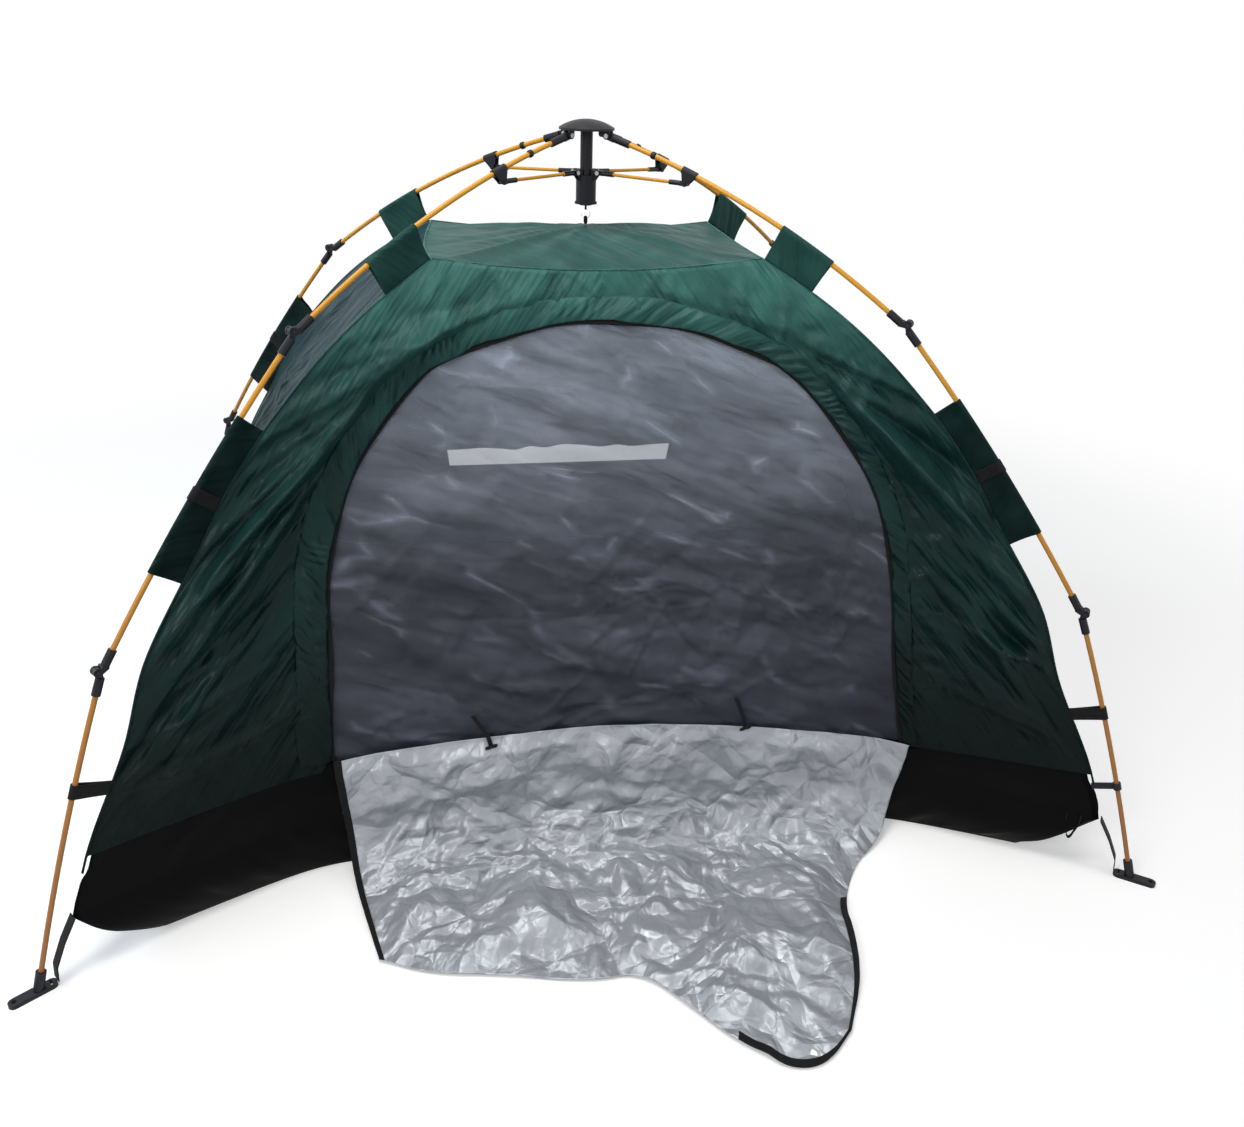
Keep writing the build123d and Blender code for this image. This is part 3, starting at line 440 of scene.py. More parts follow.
def brushedMetal(name, colour, rough):
    # plain steel with a fine grain
    finish, tree, skin = newFinish(name)
    brush = cloud(tree, places(tree, "Object"), 700.0, 2.0)
    feed(skin, {"Base Color": shades(tree, brush, [(0.3, tinted(colour, 0.8)), (0.7, colour)]),
                "Metallic": 1.0, "Roughness": rough})
    relief(tree, skin, [(brush, 0.1, 0.0003)])
    return finish


# rod colours: amber high up, and painted shade, darker and browner, low down
amberUpper = (0.74, 0.335, 0.018)
amberShadedLow = (0.38, 0.150, 0.035)
blackMould = (0.006, 0.006, 0.009)
# wall colours by height: painted shade, darkest at the hem and lightest under the roof
wallShadeStops = [(0.20, (0.0012, 0.005, 0.005)), (0.36, (0.003, 0.012, 0.011)), (0.55, (0.008, 0.030, 0.027)),
             (0.80, (0.012, 0.045, 0.041)), (1.0, (0.0155, 0.060, 0.054)), (1.17, (0.056, 0.196, 0.168))]
wallRoughs = [(0.20, 0.66), (0.36, 0.52), (0.50, 0.32), (0.80, 0.32), (1.17, 0.46)]
# side wall colours by height: painted shade, darker low down, and a painted bluish sky reflection towards the
# top
sideShadeAndSkyStops = [(0.20, (0.004, 0.011, 0.012)), (0.70, (0.011, 0.033, 0.036)), (1.17, (0.027, 0.062, 0.078))]
roofStops = [(0.0, (0.03, 0.10, 0.088)), (1.2, (0.036, 0.112, 0.098))]
# net colours by height: painted light and shade seen through the net, dark low down and bright at the top
netPaintedLightStops = [(0.25, (0.076, 0.082, 0.113)), (0.62, (0.108, 0.115, 0.152)), (0.98, (0.30, 0.345, 0.42))]
plainRoughs = [(0.0, 0.48), (1.2, 0.48)]
finishes = {
    "wall": wovenNylon("greenNylon", wallShadeStops, wallRoughs, 0.11),
    "side": wovenNylon("greenSideNylon", sideShadeAndSkyStops, plainRoughs, 0.04, 1.2),
    # sleeves: the wall's colours with their painted shade by height, darkened further to 0.42 as painted shade
    "sleeve": wovenNylon("greenSleeve", scaledStops(wallShadeStops, 0.42), plainRoughs, 0.05, 0.7),
    "roof": wovenNylon("greenRoofNylon", roofStops, plainRoughs, 0.09, 0.5),
    # arch binding: the wall's painted shade by height, a little lighter
    "binding": wovenNylon("greenBinding", scaledStops(wallShadeStops, 1.05), wallRoughs, 0.11),
    "inside": silverCoating("silverInside", (0.30, 0.32, 0.35), 0.6, 0.1, 0.2),
    "silver": silverCoating("silverFlap", (0.38, 0.40, 0.435), 0.32, 0.35, 1.0),
    "mesh": netting("doorNetting", netPaintedLightStops, 0.42),
    "tub": tubSheet("blackTub", (0.0012, 0.0012, 0.0016), 0.36),
    "tape": blackTape("blackWebbing", (0.004, 0.004, 0.0045), 0.75),
    "plastic": mouldedPlastic("blackFittings", blackMould, 0.4),
    "pole": poleFinish("amberRod", amberUpper, amberShadedLow, 0.34),
    "strut": strutFinish("amberStrut", amberUpper, amberShadedLow, blackMould, 0.36, 0.0629, 0.1859),
    "steel": brushedMetal("rivetSteel", (0.5, 0.5, 0.5), 0.35),
}
slotFinish = {"canopy_cloth": "wall", "roof_cloth": "roof", "mesh": "mesh", "tub_cloth": "tub",
              "coated_cloth": "silver", "black_webbing": "tape", "black_plastic": "plastic",
              "shaft_metal": "plastic", "steel": "steel", "pole_fibreglass": "pole"}
for row in frame["record"]["subparts"]:
    node = frame["nodes"][row["node"]]
    look = "strut" if row["node"].endswith("_strut") else slotFinish[row["material_slot"]]
    node.data.materials.clear()
    node.data.materials.append(finishes[look])
print("finishes made and put on the CAD nodes")

# mesh helpers: grids, thin shells, noise and folds


def lattice(first, second):
    # two lists of coordinates as a grid: the first runs down it, the second across
    return np.meshgrid(first, second, indexing="ij")


def gridFaces(n, m, wrap=False):
    # quads of an n by m grid, joined round along the first side if asked
    i = np.arange(n if wrap else n - 1)[:, None]
    j = np.arange(m - 1)[None, :]
    a = i * m + j
    b = ((i + 1) % n) * m + j
    return np.stack([a, b, b + 1, a + 1], -1).reshape(-1, 4)


def unit(v):
    # vectors divided by their own lengths
    return v / np.maximum(np.linalg.norm(v, axis=-1, keepdims=True), 1e-12)


def gridNormals(grid, wrap=False):
    # cross product of the steps along the grid's two sides
    du = np.roll(grid, -1, 0) - np.roll(grid, 1, 0) if wrap else np.gradient(grid, axis=0)
    return unit(np.cross(du, np.gradient(grid, axis=1)))


def shell(grid, thick, wrap=False, cap=False, centre=(0.0, 0.0, 0.45)):
    # a sheet with two faces: the grid moved half the thickness both ways along its normals, and a rim all round
    n, m = grid.shape[:2]
    normal = gridNormals(grid, wrap)
    flip = (normal * (grid - np.array(centre))).sum() < 0
    normal = -normal if flip else normal
    half = normal * thick / 2
    verts = np.concatenate([(grid + half).reshape(-1, 3), (grid - half).reshape(-1, 3)])
    face = gridFaces(n, m, wrap)
    size = n * m
    i = np.arange(n if wrap else n - 1)
    nxt = (i + 1) % n
    rims = []
    if not cap:
        rims.append(np.stack([i * m, i * m + size, nxt * m + size, nxt * m], -1))
    last = m - 1
    rims.append(np.stack([nxt * m + last, nxt * m + last + size, i * m + last + size, i * m + last], -1))
    if not wrap:
        j = np.arange(m - 1)
        rims.append(np.stack([j, j + 1, j + 1 + size, j + size], -1))
        k = j + (n - 1) * m
        rims.append(np.stack([k + size, k + 1 + size, k + 1, k], -1))
    front = np.concatenate([face] + rims)
    back = face[:, ::-1] + size
    faces = np.concatenate([front, back])
    slots = [0] * len(front) + [1] * len(back)
    if flip:
        faces = faces[:, ::-1]
    faces = faces.tolist()
    if cap:
        ring = [int(v) for v in i * m]
        top = ring if flip else ring[::-1]
        faces += [top, [v + size for v in top[::-1]]]
        slots += [0, 1]
    return verts, faces, slots


def barrel(grid, flip=False):
    # circles side by side, joined round and closed by a flat cap at both ends
    n, m = grid.shape[:2]
    ring = [i * m for i in range(n)]
    faces = gridFaces(n, m, True).tolist() + [ring[::-1], [v + m - 1 for v in ring]]
    if flip:
        faces = [face[::-1] for face in faces]
    return grid.reshape(-1, 3), faces, [0] * len(faces)


def tube(grid):
    # a grid closed both ways: its last column is the first again
    n, m = grid.shape[0], grid.shape[1] - 1
    i, j = np.arange(n)[:, None], np.arange(m)[None, :]
    k, q = (i + 1) % n, (j + 1) % m
    face = np.stack([i * m + q, k * m + q, k * m + j, i * m + j], -1).reshape(-1, 4)
    return grid[:, :-1].reshape(-1, 3), face.tolist(), [0] * len(face)


def joined(parts):
    # several (verts, faces, slots) as one
    verts, faces, slots, start = [], [], [], 0
    for v, f, s in parts:
        verts.append(v)
        faces += [[x + start for x in face] for face in f]
        slots += list(s)
        start += len(v)
    return np.concatenate(verts), faces, slots


def makePiece(name, made, looks, uv=None):
    # puts verts and faces into a mesh at the origin, with its finishes and a UV map in metres
    verts, faces, slots = made
    mesh = bpy.data.meshes.new(name)
    mesh.from_pydata(verts.tolist(), [], faces)
    mesh.polygons.foreach_set("material_index", np.array(slots, np.int32))
    mesh.polygons.foreach_set("use_smooth", np.ones(len(faces), bool))
    for look in looks:
        mesh.materials.append(finishes[look])
    corner = np.zeros(len(mesh.loops), np.int32)
    mesh.loops.foreach_get("vertex_index", corner)
    flat = verts[:, [0, 2]] if uv is None else uv
    mesh.uv_layers.new(name="cloth").data.foreach_set("uv", flat[corner].astype(np.float32).ravel())
    mesh.update()
    piece = bpy.data.objects.new(name, mesh)
    scene.collection.objects.link(piece)
    return piece


def makeJoined(name, pairs, looks):
    # one piece out of several (made, uv) pairs
    parts, uvs = zip(*pairs)
    return makePiece(name, joined(parts), looks, np.concatenate(uvs))


def flatPlaces(u, v):
    # two coordinate grids as a list of UV places
    return np.stack([u.ravel(), v.ravel()], -1)


def bothSides(u, v):
    # UV of a shell: the same flat place for its two faces
    return np.concatenate([flatPlaces(u, v)] * 2)


def softWith(piece, slotName, *nodes, body="tent"):
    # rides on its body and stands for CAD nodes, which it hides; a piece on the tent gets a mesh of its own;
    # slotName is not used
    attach(piece, body)
    if nodes:
        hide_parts(*nodes)
    if body == "tent":
        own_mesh(piece)


def meshVerts(mesh):
    # a CAD mesh's vertices as rows
    verts = np.zeros(len(mesh.vertices) * 3)
    mesh.vertices.foreach_get("co", verts)
    return verts.reshape(-1, 3)


def titled(name):
    # the words of a node's name run together, each with a capital
    return name.title().replace("_", "")


def hashUnit(ix, iy, seed):
    # a fixed random number from 0 to 1 for each lattice point: the far digits of a large sine
    value = np.sin(ix * 127.1 + iy * 311.7 + seed * 74.7) * 43758.5453
    return value - np.floor(value)


def softNoise(u, v, cell, seed):
    # random heights on a square lattice, eased between its points, from -1 to 1
    x, y = u / cell, v / cell
    ix, iy = np.floor(x), np.floor(y)
    fx, fy = x - ix, y - iy
    fx, fy = fx * fx * (3 - 2 * fx), fy * fy * (3 - 2 * fy)
    low = hashUnit(ix, iy, seed) * (1 - fx) + hashUnit(ix + 1, iy, seed) * fx
    high = hashUnit(ix, iy + 1, seed) * (1 - fx) + hashUnit(ix + 1, iy + 1, seed) * fx
    return 2 * (low * (1 - fy) + high * fy) - 1


def facetNet(u, v, cell, seed, turn=0.0, stretch=1.0):
    # crumpled sheet: random heights on a warped lattice joined by flat triangles, so the creases are sharp
    c, s = math.cos(turn), math.sin(turn)
    x = (c * u - s * v) / cell + 0.45 * softNoise(u, v, cell * 1.3, seed + 3)
    y = (s * u + c * v) / cell * stretch + 0.45 * softNoise(u, v, cell * 1.3, seed + 5)
    ix, iy = np.floor(x), np.floor(y)
    fx, fy = x - ix, y - iy
    a, b = hashUnit(ix, iy, seed), hashUnit(ix + 1, iy, seed)
    d, e = hashUnit(ix, iy + 1, seed), hashUnit(ix + 1, iy + 1, seed)
    rising = np.where(fx > fy, a + (b - a) * fx + (e - b) * fy, a + (e - d) * fx + (d - a) * fy)
    falling = np.where(fx + fy < 1, a + (b - a) * fx + (d - a) * fy,
                       e + (d - e) * (1 - fx) + (b - e) * (1 - fy))
    return 2 * np.where(hashUnit(ix, iy, seed + 29) > 0.5, rising, falling) - 1


def tensionFolds(u, v, lines, sharp=False):
    # long ridges, each a bell (or a sharp tent) across its own line that fades out at both ends
    total = np.zeros(u.shape)
    for u0, v0, u1, v1, height, width in lines:
        du, dv = u1 - u0, v1 - v0
        run = math.hypot(du, dv)
        t = np.clip(((u - u0) * du + (v - v0) * dv) / run ** 2, 0, 1)
        across = np.abs((u - u0) * dv - (v - v0) * du) / run
        profile = np.clip(1 - across / (1.8 * width), 0, 1) if sharp else np.exp(-(across / width) ** 2)
        total += height * profile * np.sin(np.pi * t)
    return total


def eased(t):
    # 0 to 1 with a level start and end
    t = np.clip(t, 0, 1)
    return t * t * (3 - 2 * t)


def evenly(points, count):
    # the same polyline with its points an equal distance apart
    points = np.array(points, float)
    run = np.concatenate([[0], np.cumsum(np.linalg.norm(np.diff(points, axis=0), axis=1))])
    t = np.linspace(0, run[-1], count)
    return np.stack([np.interp(t, run, points[:, k]) for k in range(points.shape[1])], -1)


def pointsAt(line, t):
    # places at shares t, from 0 to 1, of an evenly spaced flat line
    return np.stack([np.interp(t, np.linspace(0, 1, len(line)), line[:, c]) for c in (0, 1)], -1)


def runOf(line):
    # distance from the line's start, in even steps
    return np.linspace(0, float(np.linalg.norm(np.diff(line, axis=0), axis=1).sum()), len(line))


def smoothLine(points, count, rounds=3):
    # a polyline with its corners cut again and again, then evenly spaced
    line = np.array(points, float)
    for _ in range(rounds):
        cut = np.stack([0.75 * line[:-1] + 0.25 * line[1:], 0.25 * line[:-1] + 0.75 * line[1:]], 1)
        line = np.concatenate([line[:1], cut.reshape(-1, line.shape[1]), line[-1:]])
    return evenly(line, count)


def pipe(line, radius, side, sides=10):
    # a round welt along a line: circles square to its direction, closed at both ends
    ahead = unit(np.gradient(line, axis=0))
    across = unit(np.cross(ahead, np.broadcast_to(np.array(side, float), ahead.shape)))
    up = np.cross(ahead, across)
    a = np.linspace(0, 2 * np.pi, sides, endpoint=False)[None, :, None]
    ring = line[:, None, :] + radius * (np.cos(a) * across[:, None, :] + np.sin(a) * up[:, None, :])
    n = len(line)
    i, j = np.arange(n - 1)[:, None] * sides, np.arange(sides)[None, :]
    k = (j + 1) % sides
    face = np.stack([i + j, i + k, i + sides + k, i + sides + j], -1).reshape(-1, 4).tolist()
    face += [list(range(sides))[::-1], [(n - 1) * sides + q for q in range(sides)]]
    uv = np.stack(np.broadcast_arrays(runOf(line)[:, None], (a[0, :, 0] * radius)[None, :]), -1).reshape(-1, 2)
    return (ring.reshape(-1, 3), face, [0] * len(face)), uv


def fanLines(seed, start, ends, count, height, width, spread):
    # seeded lines from near one point to points scattered along a list of ends
    dice = np.random.RandomState(seed)
    ends = np.array(ends, float)
    t = np.linspace(0, len(ends) - 1, count) + dice.uniform(-0.3, 0.3, count)
    t = np.clip(t, 0, len(ends) - 1)
    stops = np.stack([np.interp(t, np.arange(len(ends)), ends[:, k]) for k in (0, 1)], -1)
    starts = np.array(start) + dice.uniform(-spread, spread, (count, 2))
    heights = dice.uniform(0.4, 1.0, count) * height * dice.choice([1, 1, -0.7], count)
    widths = dice.uniform(0.7, 1.4, count) * width
    return [(*a, *b, h, w) for a, b, h, w in zip(starts, stops, heights, widths)]


def arcThrough(a, b, c, count):
    # points on the circle through three points, from the first by the second to the third
    a, b, c = (np.array(p, float) for p in (a, b, c))
    m = np.array([2 * (b - a), 2 * (c - a)])
    centre = np.linalg.solve(m, np.array([b @ b - a @ a, c @ c - a @ a]))
    angles = np.unwrap([math.atan2(*(p - centre)[::-1]) for p in (a, b, c)])
    t = np.linspace(angles[0], angles[2], count)
    return centre + np.linalg.norm(a - centre) * np.stack([np.cos(t), np.sin(t)], -1)


def turned(radius, side, height, turn):
    # a place in a pole's upright plane (radius, sideways, height), turned to its corner
    c, s = math.cos(math.radians(turn)), math.sin(math.radians(turn))
    return np.stack(np.broadcast_arrays(radius * c - side * s, radius * s + side * c, height), -1)


# pole line and canopy skin, in the same numbers as the CAD

poleShape = dict(start=(0.048, 1.375), slope=16.0, bends=(18.0, 7.7, 5.3), lengths=(0.705, 0.652, 0.616976),
                 knee=12.5, straight=0.046, rod=0.00475, azimuth=35.9, steps=1500)


def poleLine(d):
    # slope along the pole: straight ends and even bows, a step at each knee; its place is the running sum
    slope, run, base, begin = [], [], d["slope"], 0.0
    for length, bend in zip(d["lengths"], d["bends"]):
        s = np.linspace(0, length, d["steps"])
        slope.append(base + bend * np.clip((s - d["straight"]) / (length - 2 * d["straight"]), 0, 1))
        run.append(s + begin)
        base += bend + d["knee"]
        begin += length
    slope, run = np.radians(np.concatenate(slope)), np.concatenate(run)
    step = np.diff(run, prepend=0.0)
    mean = (slope + np.concatenate([slope[:1], slope[:-1]])) / 2
    radius, height = np.cumsum(np.cos(mean) * step), np.cumsum(np.sin(mean) * step)
    return run, d["start"][0] + radius, d["start"][1] - height, slope


poleRun, poleR, poleZ, poleSlope = poleLine(poleShape)
azCos, azSin = math.cos(math.radians(poleShape["azimuth"])), math.sin(math.radians(poleShape["azimuth"]))


def poleAt(distance):
    # radius, height and slope at a distance along the pole
    return tuple(np.interp(distance, poleRun, line) for line in (poleR, poleZ, poleSlope))


def poleRadius(z):
    # the pole's radius at a height
    return np.interp(z, poleZ[::-1], poleR[::-1])


# height, seam's distance from the pole, half width of the flat front, front depth, inward bow of the sides
canopyRows = np.array([[0.240, 0.048, 0.600, 0.490, 0.070], [0.420, 0.076, 0.595, 0.470, 0.065],
                       [0.570, 0.076, 0.570, 0.447, 0.060], [0.690, 0.074, 0.545, 0.425, 0.050],
                       [0.920, 0.066, 0.420, 0.345, 0.040], [1.118, 0.124, 0.260, 0.258, 0.014]])
roofShape = dict(corner=0.390, cornerZ=1.1735, peakZ=1.2005, frontSag=0.02, sideSag=0.012, frontHalf=0.190)
tubRow = dict(z=0.125, gap=0.044, half=0.600, front=0.494, side=0.835)
roofX, roofY = roofShape["corner"] * azCos, roofShape["corner"] * azSin
edgeStep = 0.001


def withEnds(first, middle, last):
    # the tub's value below and the roof's above the canopy rows' own
    return np.concatenate([[first], middle, [last]])


rowZ = withEnds(tubRow["z"], canopyRows[:, 0], roofShape["cornerZ"])
rowCorner = withEnds(poleRadius(tubRow["z"]) - tubRow["gap"], poleRadius(canopyRows[:, 0]) - canopyRows[:, 1],
                     roofShape["corner"])
rowHalf = withEnds(tubRow["half"], canopyRows[:, 2], roofShape["frontHalf"])
rowFront = withEnds(tubRow["front"], canopyRows[:, 3], roofY - edgeStep)
rowSide = rowCorner * azCos - withEnds(0.0, canopyRows[:, 4], edgeStep)
rowSide[0] = tubRow["side"]


def rowCurve(z, values):
    # smooth curve through the rows: Hermite pieces with the rows' own mean slopes
    slopes = np.gradient(values, rowZ)
    k = np.clip(np.searchsorted(rowZ, z, side="right") - 1, 0, len(rowZ) - 2)
    span = rowZ[k + 1] - rowZ[k]
    t = np.clip((z - rowZ[k]) / span, 0, 1)
    return ((1 + 2 * t) * (1 - t) ** 2 * values[k] + t * (1 - t) ** 2 * span * slopes[k]
            + t * t * (3 - 2 * t) * values[k + 1] + t * t * (t - 1) * span * slopes[k + 1])


def easedRamp(t, knuckle, soft=0.09):
    # level up to the knuckle, then a straight rise to 1 at t = 1, with a rounded bend between
    at, low, high = [0.5 * (x - knuckle + np.sqrt((x - knuckle) ** 2 + soft ** 2))
                     for x in (t, np.zeros_like(t), np.ones_like(t))]
    return (at - low) / (high - low)


def ridge(z):
    # corner seam in its own upright plane: radius at each height
    return rowCurve(z, rowCorner)


def frontDepth(x, z):
    # depth of the front or rear wall from the middle plane: the flat front, then a ramp to the corner seam
    far = ridge(z)
    front = rowCurve(z, rowFront)
    ramp = easedRamp(np.abs(x) / (far * azCos), rowCurve(z, rowHalf) / (far * azCos))
    return front + (far * azSin - front) * ramp


def sideReach(y, z):
    # reach of a side wall from the middle plane: the flat side, then a ramp to the corner seam
    far = ridge(z)
    side = rowCurve(z, rowSide)
    ramp = easedRamp(np.abs(y) / (far * azSin), np.interp(z, [0.125, 0.24], [0.448, 0.5]))
    return side + (far * azCos - side) * ramp


def sagged(share, sag):
    # height of a roof edge: a parabola that hangs between the corners
    return roofShape["cornerZ"] - sag * (1 - np.clip(share, 0, 1) ** 2)


def topFront(x):
    # height of the roof's front edge
    return sagged(np.abs(x) / roofX, roofShape["frontSag"])


def topSide(y):
    # height of the roof's side edge
    return sagged(np.abs(y) / roofY, roofShape["sideSag"])


hem = dict(low=0.232, flare=0.002, stitch=0.255, fade=0.02)


def hemFlare(z):
    # the walls stand a little off the tub below their stitch line
    return hem["flare"] * eased((hem["stitch"] - z) / hem["fade"])


# roof: a shallow tent of four slack faces hung from the peak

roofLook = dict(cells=91, thick=0.0009, slack=1.18, wrinkle=0.0016, ripples=17, hip=0.0035, hipWidth=0.06,
                crisp=40)


def roofGrid(d):
    # square parameters; height falls from the peak by the larger of the two, and the edges sag
    steps = np.linspace(-1, 1, d["cells"])
    u, v = lattice(steps, steps)
    zero = np.zeros(1)
    x = u * (roofX + (1 - v ** 2) * (sideReach(zero, topSide(zero))[0] - roofX))
    y = v * (roofY + (1 - u ** 2) * (frontDepth(zero, topFront(zero))[0] - roofY))
    far = np.clip((np.abs(u) ** d["crisp"] + np.abs(v) ** d["crisp"]) ** (1 / d["crisp"]), 0, 1)
    edge = (roofShape["cornerZ"] - roofShape["frontSag"] * (1 - u ** 2) * v ** 2
            - roofShape["sideSag"] * (1 - v ** 2) * u ** 2)
    z = edge + (roofShape["peakZ"] - edge) * (1 - far) ** d["slack"]
    angle = np.arctan2(y, x)
    pull = far * (1 - far) * 4
    z = z + d["hip"] * pull * np.exp(-((np.abs(u) - np.abs(v)) / d["hipWidth"]) ** 2)
    ripple = np.sin(angle * d["ripples"] + 2 * softNoise(x, y, 0.1, 5))
    z = z + d["wrinkle"] * pull * (ripple + softNoise(x, y, 0.06, 8))
    return np.stack([x, y, z], -1)


grid = roofGrid(roofLook)
roof = makePiece("roofSheet", shell(grid, roofLook["thick"]), ("roof", "inside"),
                 bothSides(grid[..., 0], grid[..., 1]))
softWith(roof, "roof_cloth", "roof")
print("roof made")

# front wall with its arched door

door = dict(sill=0.258, sillHalf=0.598, legHalf=0.566, legTop=0.600, hip=(0.492, 0.830),
            shoulder=(0.338, 1.000), top=1.078, lean=0.030, rightFoot=(0.640, 0.214))


def doorArch(d, count):
    # legs, hips and crown as lines and arcs, from the right foot over the top to the left foot
    right = np.linspace((d["sillHalf"], d["sill"]), (d["legHalf"], d["legTop"]), 40)
    hip = arcThrough((d["legHalf"], d["legTop"]), d["hip"], d["shoulder"], 60)
    crown = arcThrough(d["shoulder"], (0, d["top"]), (-d["shoulder"][0], d["shoulder"][1]), 80)
    mirror = np.array([-1, 1])
    line = np.concatenate([right, hip[1:], crown[1:], (hip * mirror)[::-1][1:], (right * mirror)[::-1][1:]])
    line[:, 0] += d["lean"] * (1 - (line[:, 1] - d["sill"]) / (d["top"] - d["sill"]))
    return evenly(np.concatenate([[d["rightFoot"]], line]), count)


def archFrame(count):
    # the arch line and, square to it, the direction away from the door
    line = doorArch(door, count)
    tangent = unit(np.gradient(line, axis=0))
    return line, np.stack([tangent[:, 1], -tangent[:, 0]], -1)


def wallBorder(count, feet, hems):
    # the front panel's outer edge: along the hem over the tub, up the seam, across the roof edge and down again
    s = np.linspace(0, 1, count)
    knots = np.array([0, 0.1, 0.42, 0.58, 0.9, 1.0])
    across = np.linspace(roofX, -roofX, 60)
    seams = []
    for side, low in zip((1, -1), hems):
        up = np.linspace(low, roofShape["cornerZ"], 60)
        seams.append(np.stack([side * ridge(up) * azCos, up], -1))
    roofEdge = np.stack([across, topFront(across)], -1)
    pieces = [np.array([feet[0], seams[0][0]]), seams[0], roofEdge, seams[1][::-1],
              np.array([seams[1][0], feet[1]])]
    line = np.zeros((count, 2))
    for k, piece in enumerate(pieces):
        inside = (s >= knots[k]) & (s <= knots[k + 1])
        t = (s[inside] - knots[k]) / (knots[k + 1] - knots[k])
        line[inside] = pointsAt(evenly(piece, 200), t)
    return line


frontLook = dict(around=480, across=96, thick=0.0009, hems=(0.226, 0.236),
                 footDrops=((0.006, -0.010), (-0.006, -0.022)), fold=0.016, foldWidth=0.013, foldSpread=0.05,
                 pleats=96, pleat=0.006, pleatRoot=0.03,
                 arch=[(0.64, 0.36), (0.625, 0.50), (0.59, 0.70), (0.51, 0.87), (0.38, 1.02), (0.22, 1.10),
                       (0.05, 1.13)],
                 seams=[((0.93, 0.29), 0, 7), ((0.89, 0.42), 1, 9), ((0.83, 0.56), 2, 10),
                        ((0.765, 0.70), 3, 10), ((0.66, 0.86), 4, 9), ((0.48, 1.03), 4, 7)])


def frontFolds(d):
    # pull lines from the sleeves, straps and corners up to the door arch, long and nearly side by side
    lines = []
    for side in (-1, 1):
        for k, (start, first, count) in enumerate(d["seams"]):
            ends = [(side * x, z) for x, z in d["arch"][first:first + 3]]
            lines += fanLines(11 + k + 40 * (side > 0), (side * start[0], start[1]), ends, count,
                              d["fold"], d["foldWidth"], d["foldSpread"])
    return lines


def archPleats(d):
    # short gathers running out from the arch at mixed slants
    dice = np.random.RandomState(77)
    count = d["pleats"]
    line, out = archFrame(800)
    share = np.clip(np.linspace(0.02, 0.98, count) + dice.uniform(-0.005, 0.005, count), 0, 1)
    pick = (share * (len(line) - 1)).astype(int)
    turn = dice.normal(0.25, 0.45, count)
    c, s = np.cos(turn), np.sin(turn)
    out = out[pick]
    slant = np.stack([c * out[:, 0] - s * out[:, 1], s * out[:, 0] + c * out[:, 1]], -1)
    ends = line[pick] + slant * dice.uniform(0.07, 0.20, count)[:, None]
    starts = line[pick] - slant * d["pleatRoot"]
    heights = dice.uniform(0.5, 1.0, count) * d["pleat"] * dice.choice([1, 1, -0.8], count)
    return [(*a, *b, h, w) for a, b, h, w in zip(starts, ends, heights, dice.uniform(0.005, 0.009, count))]


def frontGrid(d):
    # straight lines from the arch out to the border, laid on the wall's skin and pushed out by its folds
    arch = doorArch(door, d["around"])
    feet = (arch[0] + d["footDrops"][0], arch[-1] + d["footDrops"][1])
    border = wallBorder(d["around"], feet, d["hems"])
    t = (np.linspace(0, 1, d["across"]) ** 1.35)[None, :, None]
    flat = arch[:, None, :] * (1 - t) + border[:, None, :] * t
    x, z = flat[..., 0], flat[..., 1]
    t = t[..., 0]
    away = t * np.linalg.norm(border - arch, axis=1)[:, None]
    rim = eased((1 - t) / 0.08) * (0.15 + 0.85 * eased((z - 0.24) / 0.05))
    hold = eased((away - 0.02) / 0.06) * rim
    push = hold * (tensionFolds(x, z, frontFolds(d)) + 0.004 * softNoise(x, z, 0.16, 21)
                   + 0.0022 * facetNet(x, z, 0.07, 33, 0.7, 0.6) + 0.0008 * facetNet(x, z, 0.032, 35, 0.2, 0.7))
    push = push + eased(away / 0.012) * rim * tensionFolds(x, z, archPleats(d), True)
    push = push + hemFlare(z)
    return np.stack([x, -frontDepth(x, z) - push, z], -1)


grid = frontGrid(frontLook)
frontWall = makePiece("frontWall", shell(grid, frontLook["thick"]), ("wall", "inside"),
                      bothSides(np.abs(grid[..., 0]), grid[..., 2]))
softWith(frontWall, "canopy_cloth", "front_wall")

archLook = dict(along=1400, across=15, length=2.35, inner=0.010, lift=0.003, rise=0.004, gather=0.0034,
                pitch=0.026, thick=0.0012,
                halves=[(0, 0.015), (0.25, 0.016), (0.38, 0.019), (0.5, 0.022), (0.75, 0.026), (0.93, 0.032),
                        (1, 0.030)])


def archBand(d):
    # a soft welt beside the arch: a low crown across it, slanting pleats (a bent zigzag) along it
    line, out = archFrame(d["along"])
    w = np.linspace(-1, 1, d["across"])[None, :]
    s = np.linspace(0, 1, d["along"])[:, None]
    run = s * d["length"] + 0 * w
    half = np.interp(s, *zip(*d["halves"]))
    away = half - d["inner"] + half * w * (1 + 0.12 * softNoise(run, 0 * w, 0.05, 3))
    flat = line[:, None, :] + out[:, None, :] * away[..., None]
    x, z = flat[..., 0], flat[..., 1]
    crown = 1 - w ** 2
    phase = run / d["pitch"] + 0.7 * w + 1.6 * softNoise(run, w * 0.02, 0.07, 9)
    pleat = 4 * np.abs(phase - np.floor(phase) - 0.5) - 1
    depth = d["gather"] * crown ** 0.6 * pleat * (0.45 + 0.55 * softNoise(run, w * 0.03, 0.09, 14))
    rise = d["lift"] + d["rise"] * crown + depth
    return np.stack([x, -frontDepth(x, z) - rise, z], -1), run, w * half


grid, u, v = archBand(archLook)
archBinding = makePiece("archBinding", shell(grid, archLook["thick"]), ("binding", "binding"), bothSides(v, u))
softWith(archBinding, "canopy_cloth")

zipLook = dict(along=700, across=5, length=2.3, width=0.0038, offset=-0.0118, rise=0.001, set=0.001, sway=0.002,
               thick=0.0012)


